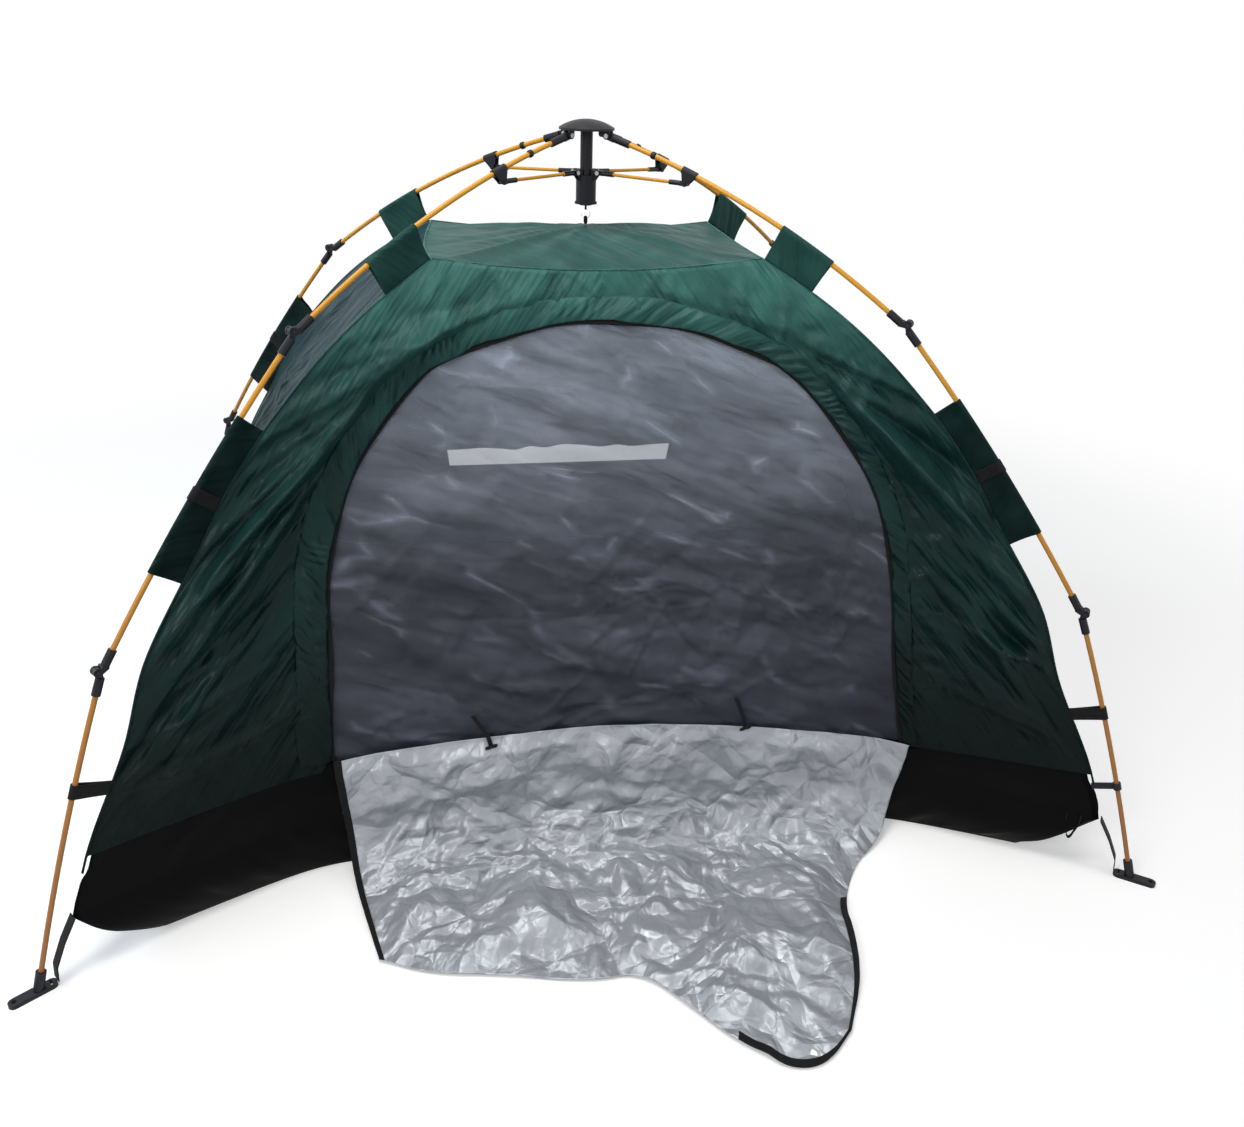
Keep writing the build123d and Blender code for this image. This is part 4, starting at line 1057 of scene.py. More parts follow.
def zipBand(d):
    # a narrow tape just inside the arch, swaying a little
    line, out = archFrame(d["along"])
    w = np.linspace(-1, 1, d["across"])[None, :]
    s = np.linspace(0, 1, d["along"])[:, None]
    away = d["offset"] + d["width"] * w + d["sway"] * np.sin(s * 60)
    flat = line[:, None, :] + out[:, None, :] * away[..., None]
    x, z = flat[..., 0], flat[..., 1]
    grid = np.stack([x, -frontDepth(x, z) - d["rise"] * (1 - w ** 2) + d["set"], z], -1)
    return grid, s * d["length"] + 0 * w, w * d["width"] + 0 * s


grid, u, v = zipBand(zipLook)
zipTape = makePiece("doorZipTape", shell(grid, zipLook["thick"]), ("tape", "tape"), bothSides(v, u))
softWith(zipTape, "black_webbing")

netLook = dict(around=420, rings=96, middle=(0.02, 0.56), thick=0.0006, set=0.004, fold=0.006, foldWidth=0.012,
               crease=0.005, creaseWidth=0.005, crumple=0.0065, billow=0.006)


def netFolds(seed, count, run, height, width):
    # scattered slanting wrinkles, most of them in the lower half
    dice = np.random.RandomState(seed)
    starts = np.stack([dice.uniform(-0.6, 0.5, count), 0.27 + 0.72 * dice.uniform(0, 1, count) ** 1.6], -1)
    turns = dice.normal(0.45, 0.55, count)
    runs = dice.uniform(0.35, 1.0, count) * run
    heights = dice.uniform(0.4, 1, count) * dice.choice([1, 1, -1], count) * height
    return [(a[0], a[1], a[0] + r * math.cos(q), a[1] + r * math.sin(q), h, width * k)
            for a, q, r, h, k in zip(starts, turns, runs, heights, dice.uniform(0.6, 1.5, count))]


def netGrid(d):
    # rings shrunk from the closed door outline to a middle point, laid a little behind the wall's skin
    arch = doorArch(door, 300)
    sill = np.linspace(arch[-1], arch[0], 80)[1:-1]
    outline = evenly(np.concatenate([arch, sill, arch[:1]]), d["around"] + 1)[:-1]
    middle = np.array(d["middle"])
    t = np.linspace(0.02, 1.008, d["rings"])[None, :, None]
    flat = middle + (outline[:, None, :] - middle) * t
    x, z = flat[..., 0], flat[..., 1]
    hold = np.clip((1 - t[..., 0]) * 8, 0, 1)
    low = np.clip((0.95 - z) / 0.45, 0.4, 1)
    crumple = (facetNet(x, z, 0.11, 6, 0.6, 0.7) + 0.7 * facetNet(x, z, 0.055, 16, 0.3, 0.8)
               + 0.35 * facetNet(x, z, 0.026, 26, 0.9))
    push = hold * low * (tensionFolds(x, z, netFolds(3, 44, 0.45, d["fold"], d["foldWidth"]))
                         + tensionFolds(x, z, netFolds(8, 70, 0.30, d["crease"], d["creaseWidth"]), True)
                         + d["crumple"] * crumple) + hold * d["billow"] * softNoise(x, z, 0.3, 2)
    return np.stack([x, -frontDepth(x, z) + d["set"] - push, z], -1)


grid = netGrid(netLook)
doorNet = makePiece("doorNet", shell(grid, netLook["thick"], wrap=True, cap=True), ("mesh", "mesh"),
                    bothSides(grid[..., 0], grid[..., 2]))
softWith(doorNet, "mesh", "door_mesh")
print("front wall, arch binding and net made")

# side walls

sideLook = dict(across=190, up=170, thick=0.0009, fold=0.010, foldWidth=0.018, foldSpread=0.03, billow=0.005,
                seams=[(0.66, 0.40, 7), (0.56, 0.69, 8), (0.48, 0.86, 7), (0.34, 1.05, 5)])


def sideGrid(side, d):
    # rows at equal shares of the height under the roof edge, from seam to seam, pushed out by pull lines
    w, t = lattice(np.linspace(-1, 1, d["across"]), np.linspace(0, 1, d["up"]))
    z = hem["low"] + t * (roofShape["cornerZ"] - hem["low"])
    y = w * ridge(z) * azSin
    sag = roofShape["sideSag"] * (1 - w ** 2) * t ** 6
    lines = []
    for end in (-1, 1):
        middle = [(end * 0.1, 0.3), (0.0, 0.6), (0.0, 0.9), (end * 0.05, 1.1)]
        for k, (a, b, count) in enumerate(d["seams"]):
            lines += fanLines(61 + k + 9 * (end > 0) + 20 * (side > 0), (end * a, b), middle, count,
                              d["fold"], d["foldWidth"], d["foldSpread"])
    hold = np.sqrt(np.clip((1 - w ** 2) * 4 * t * (1 - t), 0, 1))
    push = hold * (tensionFolds(y, z, lines) + d["billow"] * softNoise(y, z, 0.2, 31 + side)) + hemFlare(z)
    return np.stack([side * (sideReach(y, z - sag) + push), y, z - sag], -1)


for side, name, node in ((-1, "leftWall", "left_wall"), (1, "rightWall", "right_wall")):
    grid = sideGrid(side, sideLook)
    wall = makePiece(name, shell(grid, sideLook["thick"]), ("side", "inside"),
                     bothSides(np.abs(grid[..., 1]), grid[..., 2]))
    softWith(wall, "canopy_cloth", node)

# rear wall with its window

window = dict(bottom=0.500, height=0.320, bottomHalf=0.300, topHalf=0.330, slit=0.048)
rearLook = dict(side=120, across=72, thick=0.0009, fold=0.009, foldWidth=0.026, foldSpread=0.03, billow=0.004,
                seams=[(0.885, 0.40, 7), (0.765, 0.69, 8), (0.66, 0.86, 7), (0.33, 1.15, 5)])


def rearGrid(d):
    # a closed ring from the window's four sides out to the panel's four sides
    n, low, peak = d["side"], hem["low"], roofShape["cornerZ"]
    top = window["bottom"] + window["height"]
    hole = [(-window["bottomHalf"], window["bottom"]), (window["bottomHalf"], window["bottom"]),
            (window["topHalf"], top), (-window["topHalf"], top)]
    inner = np.concatenate([np.linspace(hole[k], hole[(k + 1) % 4], n, endpoint=False) for k in range(4)])
    t = np.linspace(0, 1, n, endpoint=False)
    up, down = low + t * (peak - low), peak + t * (low - peak)
    foot = ridge(np.array([low]))[0] * azCos
    across = roofX * (1 - 2 * t)
    border = [(foot * (2 * t - 1), np.full(n, low)), (ridge(up) * azCos, up), (across, topFront(across)),
              (-ridge(down) * azCos, down)]
    outer = np.concatenate([np.stack(edge, -1) for edge in border])
    t = np.linspace(0, 1, d["across"])[None, :, None]
    flat = inner[:, None, :] * (1 - t) + outer[:, None, :] * t
    x, z = flat[..., 0], flat[..., 1]
    lines = []
    for side in (-1, 1):
        ends = [(side * 0.33, 0.45), (side * 0.36, 0.65), (side * 0.34, 0.85), (side * 0.1, 1.0)]
        for k, (a, b, count) in enumerate(d["seams"]):
            lines += fanLines(101 + k + 9 * (side > 0), (side * a, b), ends, count,
                              d["fold"], d["foldWidth"], d["foldSpread"])
    hold = np.sqrt(np.clip(np.sin(np.pi * t[..., 0]), 0, 1))
    push = hold * (tensionFolds(x, z, lines) + d["billow"] * softNoise(x, z, 0.18, 51)) + hemFlare(z)
    return np.stack([x, frontDepth(x, z) + push, z], -1)


grid = rearGrid(rearLook)
rearWall = makePiece("rearWall", shell(grid, rearLook["thick"], wrap=True), ("wall", "inside"),
                     bothSides(np.abs(grid[..., 0]), grid[..., 2]))
softWith(rearWall, "canopy_cloth", "rear_wall")

panelLook = dict(across=90, up=36, thick=0.001, sag=0.006, lap=0.004, off=0.0016, flutter=0.008)


def panelGrid(d):
    # the window's cover between its sides, its free lower edge drooping in a few waves
    u, t = lattice(np.linspace(-1, 1, d["across"]), np.linspace(0, 1, d["up"]))
    top = window["bottom"] + window["height"] + d["lap"]
    waves = 0.5 * np.sin(u * 7 + 1) + 0.4 * np.sin(u * 15) + softNoise(u, u * 0, 0.13, 7)
    low = window["bottom"] + window["slit"] + d["sag"] * waves * (1 - u ** 2)
    z = low + t * (top - low)
    widening = (window["topHalf"] - window["bottomHalf"]) * (z - window["bottom"]) / window["height"]
    x = u * (window["bottomHalf"] + widening + d["lap"])
    push = (1 - t) * d["flutter"] * softNoise(x, z, 0.1, 5) * (1 - u ** 2)
    return np.stack([x, frontDepth(x, z) + d["off"] + push, z], -1)


grid = panelGrid(panelLook)
windowPanel = makePiece("windowPanel", shell(grid, panelLook["thick"]), ("wall", "inside"),
                        bothSides(grid[..., 0], grid[..., 2]))
softWith(windowPanel, "canopy_cloth", "window_panel")
print("side and rear walls made")

# welts on the seams

weltLook = dict(radius=0.0022, foot=0.205)
welts = []
up = np.linspace(weltLook["foot"], roofShape["cornerZ"], 120)
for turn in cornerTurns.values():
    welts.append(pipe(turned(ridge(up), 0 * up, up, turn), weltLook["radius"], turned(0, 1, 0, turn)))
grid = roofGrid(roofLook)
for edge in (grid[0], grid[-1], grid[:, 0], grid[:, -1]):
    welts.append(pipe(edge, weltLook["radius"], (0, 0, 1)))
seamWelts = makeJoined("seamWelts", welts, ("wall",))
softWith(seamWelts, "canopy_cloth")

# bathtub floor

tubShape = dict(floor=0.0008, corner=1.085, front=0.495, side=0.800, sideHalf=0.33, lip=0.262, inset=0.009,
                along=150, rings=16, low=14, high=16, thick=0.0012, wrinkle=0.0045, runs=(0.95, 0.7, 0.95, 0.7),
                capX=(-0.62, -0.55, 0.2, 0.64, 0.70, 0.80), capZ=(0.262, 0.245, 0.245, 0.190, 0.205, 0.262))


def tubGrid(d):
    # the floor's edge line shrunk to the middle, carried up to the tub row, then up the canopy's own skin
    base, row = d["floor"], tubRow["z"]
    share = np.concatenate([np.linspace(0.05, 1.0, d["rings"]), np.ones(d["low"] + d["high"])])
    z = np.concatenate([np.full(d["rings"], base), np.linspace(base, row, d["low"] + 1)[1:],
                        np.linspace(row, d["lip"], d["high"] + 1)[1:]])
    upper = np.maximum(z, row)
    mix = np.clip((z - base) / (row - base), 0, 1)
    corner = d["corner"] + (ridge(upper) - d["corner"]) * mix
    cx, cy = corner * azCos, corner * azSin
    w = np.linspace(-1, 1, d["along"], endpoint=False)[:, None]
    lowFront = d["front"] + (cy - d["front"]) * easedRamp(np.abs(w) + 0 * cx, tubRow["half"] / cx + 0 * w)
    lowSide = d["side"] + (cx - d["side"]) * easedRamp(np.abs(w) + 0 * cy, d["sideHalf"] / cy + 0 * w)
    level = upper + 0 * w
    depth = lowFront + (frontDepth(w * ridge(upper) * azCos, level) - lowFront) * mix
    reach = lowSide + (sideReach(w * ridge(upper) * azSin, level) - lowSide) * mix
    ring = [np.stack([w * cx, -depth], -1), np.stack([reach, w * cy], -1),
            np.stack([-w * cx, depth], -1), np.stack([-reach, -w * cy], -1)]
    flat = np.concatenate(ring) * share[None, :, None]
    size = (d["along"], len(z))
    run = np.concatenate([np.broadcast_to(w * k + 3 * i, size) for i, k in enumerate(d["runs"])])
    high = np.broadcast_to(z, run.shape)
    clear = np.concatenate([eased((np.abs(w) * cx - 0.62) / 0.08)] + [np.ones(size)] * 3)
    hold = np.clip(high / 0.06, 0, 1) * np.clip((0.20 - high) / 0.05, 0, 1) * clear
    waves = 0.8 * np.sin(run * 31 + 3 * softNoise(run, high, 0.12, 3))
    push = d["wrinkle"] * hold * (softNoise(run, high, 0.07, 12) + waves + facetNet(run, high, 0.05, 41))
    push = push - d["inset"] * eased((high - 0.188) / 0.02)
    front = slice(0, d["along"])
    cap = np.interp(flat[front, :, 0], d["capX"], d["capZ"])
    level = high.copy()
    lowered = row + (high[front] - row) * (cap - row) / (d["lip"] - row)
    level[front] = np.where(high[front] > row, lowered, high[front])
    return np.concatenate([flat + unit(flat) * push[..., None], level[..., None]], -1), run, high


grid, u, v = tubGrid(tubShape)
upright = v > 0.001
made = shell(grid, tubShape["thick"], wrap=True, cap=True, centre=(0, 0, 0.3))
floorTub = makePiece("floorTub", made, ("tub", "tub"),
                     bothSides(np.where(upright, u, grid[..., 0]), np.where(upright, v, grid[..., 1])))
softWith(floorTub, "tub_cloth", "floor_tub")
print("tub made")

# door flap, unzipped and lying on the ground

flap = dict(across=250, down=190, thick=0.0012, bend=0.12, gap=0.007, lift=0.016, least=0.003,
            below=(0, -0.4, -1.0),
            sill=[(-0.555, 0.258), (-0.426, 0.273), (-0.227, 0.285), (-0.105, 0.289), (0.019, 0.290),
                  (0.189, 0.276), (0.41, 0.246), (0.642, 0.210)],
            left=[(-0.555, 0.0), (-0.540, 0.2), (-0.522, 0.31), (-0.474, 0.491)],
            hem=[(-0.474, 0.491), (-0.382, 0.549), (-0.255, 0.578), (-0.093, 0.625), (0.002, 0.616),
                 (0.077, 0.702), (0.132, 0.769), (0.176, 0.800), (0.215, 0.833), (0.280, 0.825),
                 (0.343, 0.755)],
            right=[(0.642, 0.0), (0.605, 0.19), (0.56, 0.265), (0.498, 0.33), (0.434, 0.455), (0.430, 0.525),
                   (0.399, 0.646), (0.343, 0.755)],
            knots=[(-0.36, 0.34), (-0.37, 0.10), (-0.20, 0.20), (-0.11, 0.31), (0.0, 0.12), (0.02, 0.45),
                   (0.17, 0.18), (0.20, 0.45), (0.30, 0.36), (0.42, 0.12), (0.12, 0.62), (0.27, 0.68)],
            packed=[(-0.38, -0.1, -0.35, 0.6), (-0.03, -0.1, -0.01, 0.66), (0.25, -0.1, 0.22, 0.85),
                    (-0.60, 0.20, -0.1, 0.23), (0.0, 0.30, 0.5, 0.33), (-0.52, 0.45, -0.1, 0.50),
                    (0.0, 0.66, 0.42, 0.64)],
            packedDepth=-0.005, packedWidth=0.010,
            bulges=[(-0.20, 0.47, 0.030, 0.085), (0.05, 0.38, 0.022, 0.07), (0.22, 0.58, 0.026, 0.08),
                    (-0.40, 0.40, 0.014, 0.06), (0.36, 0.45, 0.016, 0.06)])


def flapFlat(s, t, d):
    # a patch between four edge lines: across the sill, down both sides, along the hem
    corners = [np.array(q, float) for q in (d["left"][0], d["right"][0], d["hem"][0], d["hem"][-1])]
    edges = (corners[:2], d["hem"], d["left"], d["right"])
    a, b, c, e = (pointsAt(smoothLine(edge, 240), at) for edge, at in zip(edges, (s, s, t, t)))
    s, t = s[..., None], t[..., None]
    twice = ((1 - s) * (1 - t) * corners[0] + s * (1 - t) * corners[1] + (1 - s) * t * corners[2]
             + s * t * corners[3])
    return (1 - t) * a + t * b + (1 - s) * c + s * e - twice


def flapCreases(d):
    # sharp creases: stars of eight round the knots, and the straight marks of its packed folds
    dice = np.random.RandomState(19)
    lines = []
    for x, q in d["knots"]:
        turns = np.arange(8) * 0.785 + dice.uniform(-0.3, 0.3, 8)
        runs = dice.uniform(0.09, 0.27, 8)
        heights = dice.uniform(0.004, 0.010, 8) * dice.choice([1, 1, -0.8], 8)
        lines += [(x, q, x + r * math.cos(a), q + r * math.sin(a), h, w)
                  for a, r, h, w in zip(turns, runs, heights, dice.uniform(0.008, 0.016, 8))]
    return lines + [(*line, d["packedDepth"], d["packedWidth"]) for line in d["packed"]]


def flapPoint(s, t, d):
    # cloth distance from the sill: down the front, round a wide bend and forward; crumples push off that line
    flat = flapFlat(s, t, d)
    x, q = flat[..., 0], flat[..., 1]
    sill = smoothLine(d["sill"], 120)
    top = np.interp(x, sill[:, 0], sill[:, 1])
    bend = d["bend"]
    hang = top - bend
    turn = np.clip((q - hang) / bend, 0, np.pi / 2)
    out = bend * (1 - np.cos(turn)) + np.maximum(q - hang - bend * np.pi / 2, 0)
    z = np.where(q < hang, top - q, bend * (1 - np.sin(turn)))
    start = frontDepth(x, np.maximum(top, 0.2)) + d["gap"] * (1 + eased(q / 0.08))
    ground = eased((q - 0.10) / 0.2)
    edge = np.clip(np.minimum(np.minimum(s, 1 - s) * 12, (1 - t) * 10), 0, 1)
    crumple = (0.015 * facetNet(x, q, 0.16, 5, 0.4) * (0.45 + 0.55 * ground)
               + 0.010 * facetNet(x, q, 0.085, 9, 1.1) + 0.006 * facetNet(x, q, 0.042, 13, 0.2)
               + 0.003 * facetNet(x, q, 0.021, 23, 0.8))
    folds = tensionFolds(x, q, flapCreases(d), True)
    for bx, bq, height, wide in d["bulges"]:
        folds = folds + height * np.exp(-((x - bx) ** 2 + (q - bq) ** 2) / wide ** 2)
    push = d["lift"] * (0.3 + 0.7 * edge) + (crumple + folds) * (0.35 + 0.65 * edge)
    push = 0.5 * (push + np.sqrt(push ** 2 + 0.00006)) * np.clip(q / 0.03, 0.15, 1)
    height = np.maximum(z + np.sin(turn) * push, d["least"])
    return np.stack([x, -start - out - np.cos(turn) * push, height], -1), x, q


s, t = lattice(np.linspace(0, 1, flap["across"]), np.linspace(0, 1, flap["down"]))
grid, u, v = flapPoint(s, t, flap)
doorFlap = makePiece("doorFlap", shell(grid, flap["thick"], centre=flap["below"]), ("silver", "wall"),
                     bothSides(u, v))
softWith(doorFlap, "coated_cloth", "door_flap")

# each strip: from and to across the flap, from and to down it, and whether it runs down
bindingLook = dict(along=400, across=7, thick=0.0032, lift=0.0014,
                   strips=[(-0.001, 0.0125, 0.0, 1.0, True), (0.74, 1.0, 1.001, 0.982, False),
                           (1.001, 0.982, 0.58, 1.0, True)])


def bindingStrip(s0, s1, t0, t1, runsDown, d):
    # a doubled tape on the flap's own surface, between two parameter lines near an edge
    a = np.linspace(0, 1, d["along"])[:, None]
    b = np.linspace(0, 1, d["across"])[None, :]
    s = s0 + (s1 - s0) * (b if runsDown else a) + 0 * (a + b)
    t = t0 + (t1 - t0) * (a if runsDown else b) + 0 * (a + b)
    grid, u, v = flapPoint(s, t, flap)
    return shell(grid + np.array([0, 0, d["lift"]]), d["thick"], centre=flap["below"]), bothSides(u, v)


flapBinding = makeJoined("flapBinding", [bindingStrip(*strip, bindingLook) for strip in bindingLook["strips"]],
                         ("tape", "tape"))
softWith(flapBinding, "black_webbing", "door_flap_binding")
print("door flap made")

# sleeves and straps on the poles


def seamDepth(r, z, slope):
    # distance square to the pole to the corner seam: its point with the least offset along the pole
    heights = np.linspace(0.13, roofShape["cornerZ"], 900)
    radii = ridge(heights)
    dr = radii[None, :] - np.ravel(r)[:, None]
    dz = heights[None, :] - np.ravel(z)[:, None]
    c, s = np.cos(np.ravel(slope))[:, None], np.sin(np.ravel(slope))[:, None]
    best = np.argmin(np.abs(dr * c - dz * s), axis=1)
    return -(dr * s + dz * c)[np.arange(len(best)), best]


def hungBand(distance, loop, seamGap, wave, turn, thick, reach=1.0, around=33, seed=1):
    # a band hung over the pole: up one side from the seam, round the rod and down again, waved between
    r, z, slope = poleAt(distance)
    depth = seamDepth(r, z, slope) * reach
    run = distance[:, None]
    b = np.linspace(-1, 1, around)[None, :]
    top = 0.34
    angle = np.clip(b / top, -1, 1) * np.pi * 0.5
    down = np.clip((np.abs(b) - top) / (1 - top), 0, 1)
    out = np.where(down > 0, -down * depth[:, None], loop * np.cos(angle))
    close = (1 - down) ** 1.6
    side = np.where(down > 0, np.sign(b) * (loop * close + seamGap * (1 - close)), loop * np.sin(angle))
    waves = np.sin(run * 41 + seed) + 0.6 * softNoise(run + 0 * b, b * 0.1, 0.04, seed)
    side = side + wave * np.sin(np.pi * down) * waves
    c, s = np.cos(slope)[:, None], np.sin(slope)[:, None]
    grid = turned(r[:, None] + s * out, side, z[:, None] + c * out, turn)
    u, v = run + 0 * b, b * (depth[:, None] + loop)
    r, z = poleAt(float(u.mean()))[:2]
    return shell(grid, thick, centre=turned(r - 0.02, 0, z - 0.012, turn)), bothSides(u, v)


sleeveLook = dict(upper=(0.404, 0.118), lower=(0.874, 0.300), steps=dict(upper=48, lower=110), loop=0.0066,
                  seamGap=0.0012, thick=0.0009, wave=0.004)
sleeves = []
for corner, turn in cornerTurns.items():
    for part in ("upper", "lower"):
        begin, length = sleeveLook[part]
        line = np.linspace(begin, begin + length, sleeveLook["steps"][part])
        made, uv = hungBand(line, sleeveLook["loop"], sleeveLook["seamGap"], sleeveLook["wave"], turn,
                            sleeveLook["thick"], seed=len(sleeves))
        name = part + "Sleeve" + titled(corner) if sleeves else "poleSleeves"
        sleeve = makePiece(name, made, ("sleeve", "sleeve"), uv)
        softWith(sleeve, "canopy_cloth", *([] if sleeves else ["pole_sleeves"]))
        sleeves.append(sleeve)

# each row: place along the pole, width, radius round the rod, gap at the seam, share of the way to the seam
strapLook = dict(thick=0.0014, rows=[(1.024, 0.024, sleeveLook["loop"] + 0.0017, 0.0034, 0.9),
                                     (1.576, 0.026, 0.0064, 0.0012, 1.0)])
straps = []
for turn in cornerTurns.values():
    for at, width, loop, seamGap, reach in strapLook["rows"]:
        line = np.linspace(at - width / 2, at + width / 2, 7)
        straps.append(hungBand(line, loop, seamGap, 0.0, turn, strapLook["thick"], reach))
poleStraps = makeJoined("poleStraps", straps, ("tape", "tape"))
softWith(poleStraps, "black_webbing", "pole_straps")
print("sleeves and straps made")

# corner webbing, loops and ties


def ribbon(points, width, across, thick, centre, count=60):
    # a flat tape along a smoothed path: the path twice averaged, widened along one fixed direction
    line = evenly(points, count)
    for _ in range(2):
        line[1:-1] = (line[:-2] + 2 * line[1:-1] + line[2:]) / 4
    w = np.linspace(-0.5, 0.5, 7)[None, :, None]
    run = runOf(line)[:, None]
    grid = line[:, None, :] + np.array(across)[None, None, :] * w * width
    return shell(grid, thick, centre=centre), bothSides(run + 0 * w[..., 0], w[..., 0] * width + 0 * run)


webbingLook = dict(width=0.022, thick=0.0016, centre=(0, 0, 0.05),
                   path=[(rowCorner[0] + 0.0014, 0.126), (1.258, 0.085), (1.2795, 0.04), (1.2825, 0.0105)])
tapes = []
for turn in cornerTurns.values():
    points = [turned(r, 0, z, turn) for r, z in webbingLook["path"]]
    tapes.append(ribbon(points, webbingLook["width"], turned(0, 1, 0, turn), webbingLook["thick"],
                        webbingLook["centre"]))
cornerWebbing = makeJoined("cornerWebbing", tapes, ("tape", "tape"))
softWith(cornerWebbing, "black_webbing", "corner_webbing")

# the peg loop's path: sideways and down from the middle of its top
loopLook = dict(width=0.008, thick=0.0018, face=(-0.495, -0.869, 0.0), topGap=0.001, inside=0.02,
                path=[(-0.014, 0.0), (-0.013, 0.02), (-0.004, 0.055), (0.0, 0.06), (0.004, 0.055),
                      (0.013, 0.02), (0.014, 0.0)])
low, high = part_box("peg_loop")
lean = unit(np.array([high[0] - low[0], low[1] - high[1], 0.0]))
top = np.array([(low[0] + high[0]) / 2, (low[1] + high[1]) / 2, high[2] - loopLook["topGap"]])
points = [top + lean * away - np.array([0, 0, drop]) for away, drop in loopLook["path"]]
made, uv = ribbon(points, loopLook["width"], loopLook["face"], loopLook["thick"],
                  top - np.array([0, 0, loopLook["inside"]]), 80)
pegLoop = makePiece("pegLoop", made, ("tape", "tape"), uv)
softWith(pegLoop, "black_webbing", "peg_loop")

peakLook = dict(radius=0.0072, wire=0.0022, width=1.5)
low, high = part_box("peak_loop")


def peakRing(d):
    # a small ring of cord: a circle in the tent's upright side plane, with a round section
    a, b = lattice(np.linspace(0, 2 * np.pi, 48, endpoint=False), np.linspace(0, 2 * np.pi, 17))
    middle = [(low[k] + high[k]) / 2 for k in range(3)]
    reach = (high[2] - low[2]) / 2 - d["wire"] + d["wire"] * np.cos(b)
    grid = np.stack([middle[0] + d["wire"] * d["width"] * np.sin(b), middle[1] + reach * np.cos(a),
                     middle[2] + reach * np.sin(a)], -1)
    return grid, a * d["radius"], b * d["wire"]


grid, u, v = peakRing(peakLook)
peakLoop = makePiece("peakLoop", tube(grid), ("tape",), flatPlaces(u[:, :-1], v[:, :-1]))
softWith(peakLoop, "black_webbing", "peak_loop")

# the ties' places and sways along the sill; their path: share of the sway, way off the wall, height
tieLook = dict(width=0.009, thick=0.0014, toggleLength=0.026, toggleRadius=0.0038, toggleOff=0.0225,
               toggleZ=0.269, toggleLean=0.3, wallZ=0.27, insideZ=0.3, at=[(-0.246, -0.035), (0.281, -0.02)],
               path=[(1.0, 0.001, 0.332), (0.6, 0.008, 0.312), (0.15, 0.016, 0.288), (0.0, 0.0185, 0.268)])


def toggleGrid(place, lean, d):
    # a small toggle: circles along X, with a slight waist in the middle and closed round ends
    a, b = lattice(np.linspace(0, 2 * np.pi, 28, endpoint=False), np.linspace(-1, 1, 25))
    waist = 1 - 0.18 * np.exp(-(b / 0.25) ** 2)
    r = d["toggleRadius"] * np.sqrt(np.clip(1 - np.abs(b) ** 5, 0.0004, 1)) * waist
    x = b * d["toggleLength"] / 2
    grid = np.stack([place[0] + x, place[1] + r * np.cos(a), place[2] + r * np.sin(a) + lean * x], -1)
    return grid, a * d["toggleRadius"], x


ties = []
for x, sway in tieLook["at"]:
    depth = -float(frontDepth(np.array([x]), np.array([tieLook["wallZ"]]))[0])
    points = [(x + sway * share, depth - off, z) for share, off, z in tieLook["path"]]
    ties.append(ribbon(points, tieLook["width"], (1, 0, 0), tieLook["thick"], (x, 0, tieLook["insideZ"]), 40))
    place = (x, depth - tieLook["toggleOff"], tieLook["toggleZ"])
    grid, u, v = toggleGrid(place, tieLook["toggleLean"], tieLook)
    ties.append((barrel(grid, True), flatPlaces(u, v)))
doorTies = makeJoined("doorTies", ties, ("tape", "tape"))
softWith(doorTies, "black_webbing", "door_ties", body="sill")
print("webbing, loops and ties made")

# clip on the front right pole, collars on the upper rods

clipMesh = frame["nodes"]["pole_clip"].data
verts, back = np.unique(np.round(meshVerts(clipMesh), 6), axis=0, return_inverse=True)
tris = np.zeros(len(clipMesh.polygons) * 3, np.int32)
clipMesh.loops.foreach_get("vertex_index", tris)
tris = np.ravel(back)[tris].reshape(-1, 3)
poleClip = makePiece("poleClip", (verts, tris.tolist(), [0] * len(tris)), ("plastic",))
poleClip.data.polygons.foreach_set("use_smooth", np.zeros(len(tris), bool))
softWith(poleClip, "black_plastic", "pole_clip")

collarLook = dict(at=0.106, length=0.011, wall=0.0022, clear=0.0002)


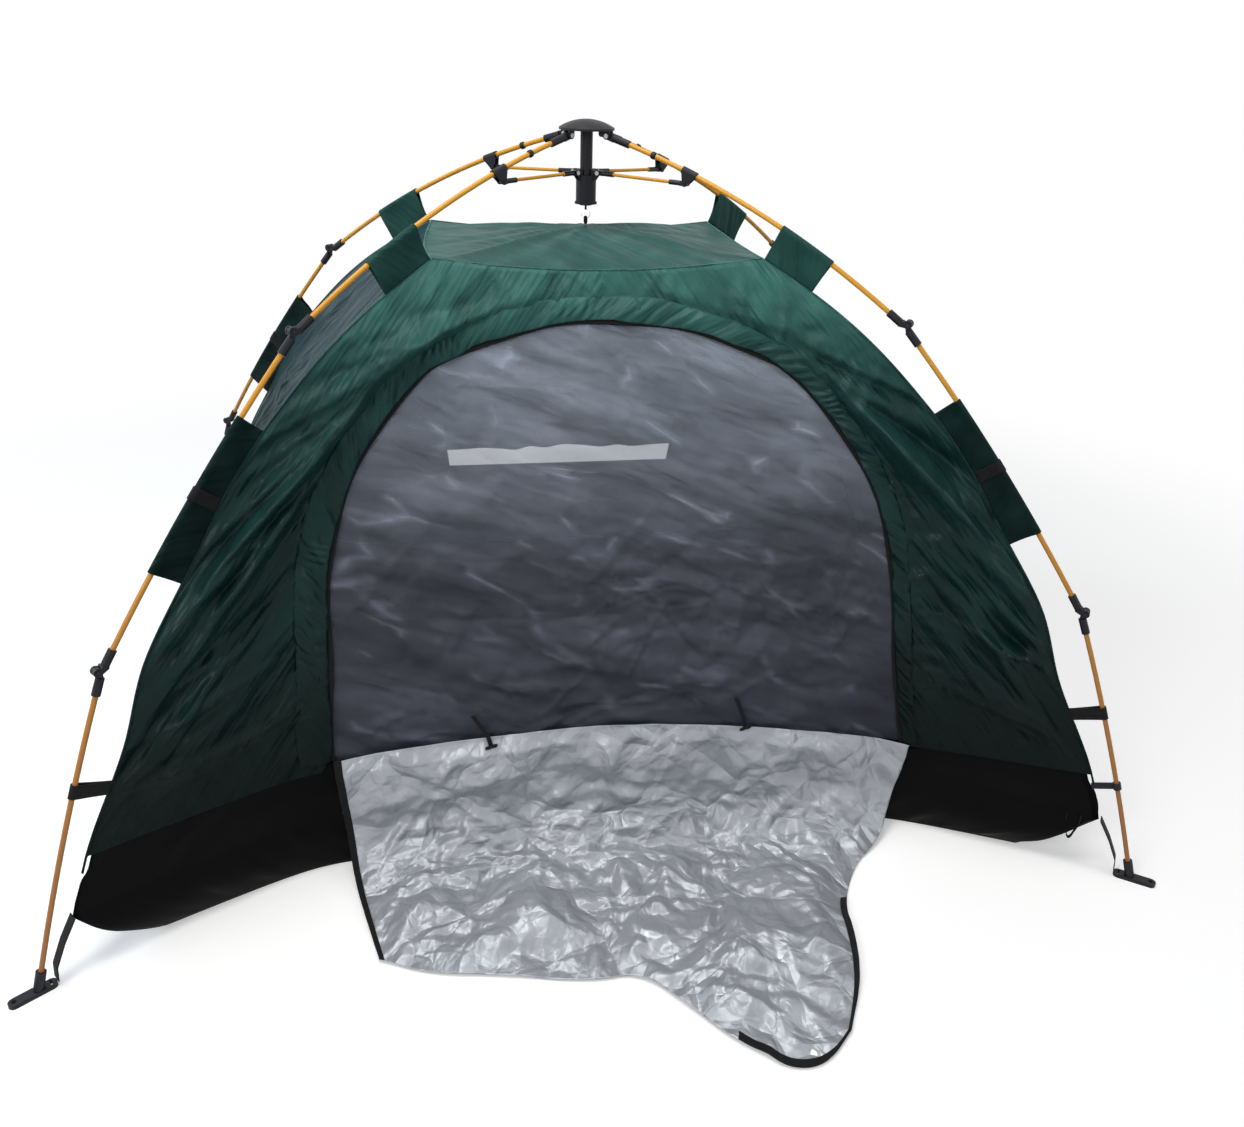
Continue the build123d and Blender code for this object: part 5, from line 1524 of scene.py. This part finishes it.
def collarGrid(turn, d):
    # a short ring on the rod: a rounded profile turned about the pole's line
    b = np.linspace(0, 1, 25)[None, :]
    a = np.linspace(0, 2 * np.pi, 33)[:, None]
    outer = np.clip(b * 2, 0, 1)
    inner = np.clip(b * 2 - 1, 0, 1)
    swell = np.clip(1 - np.abs(2 * outer - 1) ** 4, 0, 1) * (b < 0.5)
    bulge = poleShape["rod"] + d["clear"] + d["wall"] * swell
    run = np.where(b < 0.5, outer - 0.5, 0.5 - inner) * d["length"]
    r, z, slope = (float(q) for q in poleAt(d["at"]))
    c, s = math.cos(slope), math.sin(slope)
    out, side = bulge * np.cos(a), bulge * np.sin(a)
    return turned(r + c * run + s * out, side, z - s * run + c * out, turn)


for corner, turn in cornerTurns.items():
    made = tube(collarGrid(turn, collarLook)[:-1])
    collar = makePiece("rodCollar" + titled(corner), made, ("plastic",))
    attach(collar, corner + "_upper")
print("clip and collars made")

rivetLook = dict(radius=0.0040, height=0.0014, search=0.004)


def rivetCap(place, axis, d):
    # a low round head: circles about the pin's axis that shrink to its top
    side = unit(np.cross(axis, (0.0, 0.0, 1.0)))
    up = np.cross(axis, side)
    a, b = lattice(np.linspace(0, 2 * np.pi, 20, endpoint=False), np.linspace(0, 1, 7))
    r, h = d["radius"] * np.sqrt(np.clip(1 - b ** 2, 0.004, 1)), d["height"] * b
    ring = (r * np.cos(a))[..., None] * side + (r * np.sin(a))[..., None] * up
    return barrel(place + ring + h[..., None] * axis)


for joint in frame["record"]["behaviour"]["joints"]:
    if not joint["name"].endswith("_knee"):
        continue
    place, axis = np.array(joint["pos_m"]), unit(np.array(joint["axis"], float))
    away = meshVerts(frame["nodes"][joint["parent"] + "_end_fittings"].data) - place
    run = away @ axis
    near = np.linalg.norm(away - run[:, None] * axis, axis=1) < rivetLook["search"]
    tip = np.abs(run[near]).max()
    heads = [rivetCap(place + way * axis * tip, way * axis, rivetLook) for way in (-1.0, 1.0)]
    name = titled(joint["name"])
    rivets = makePiece(name[0].lower() + name[1:] + "Rivets", joined(heads), ("steel",))
    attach(rivets, joint["parent"])
print("rivet heads made")
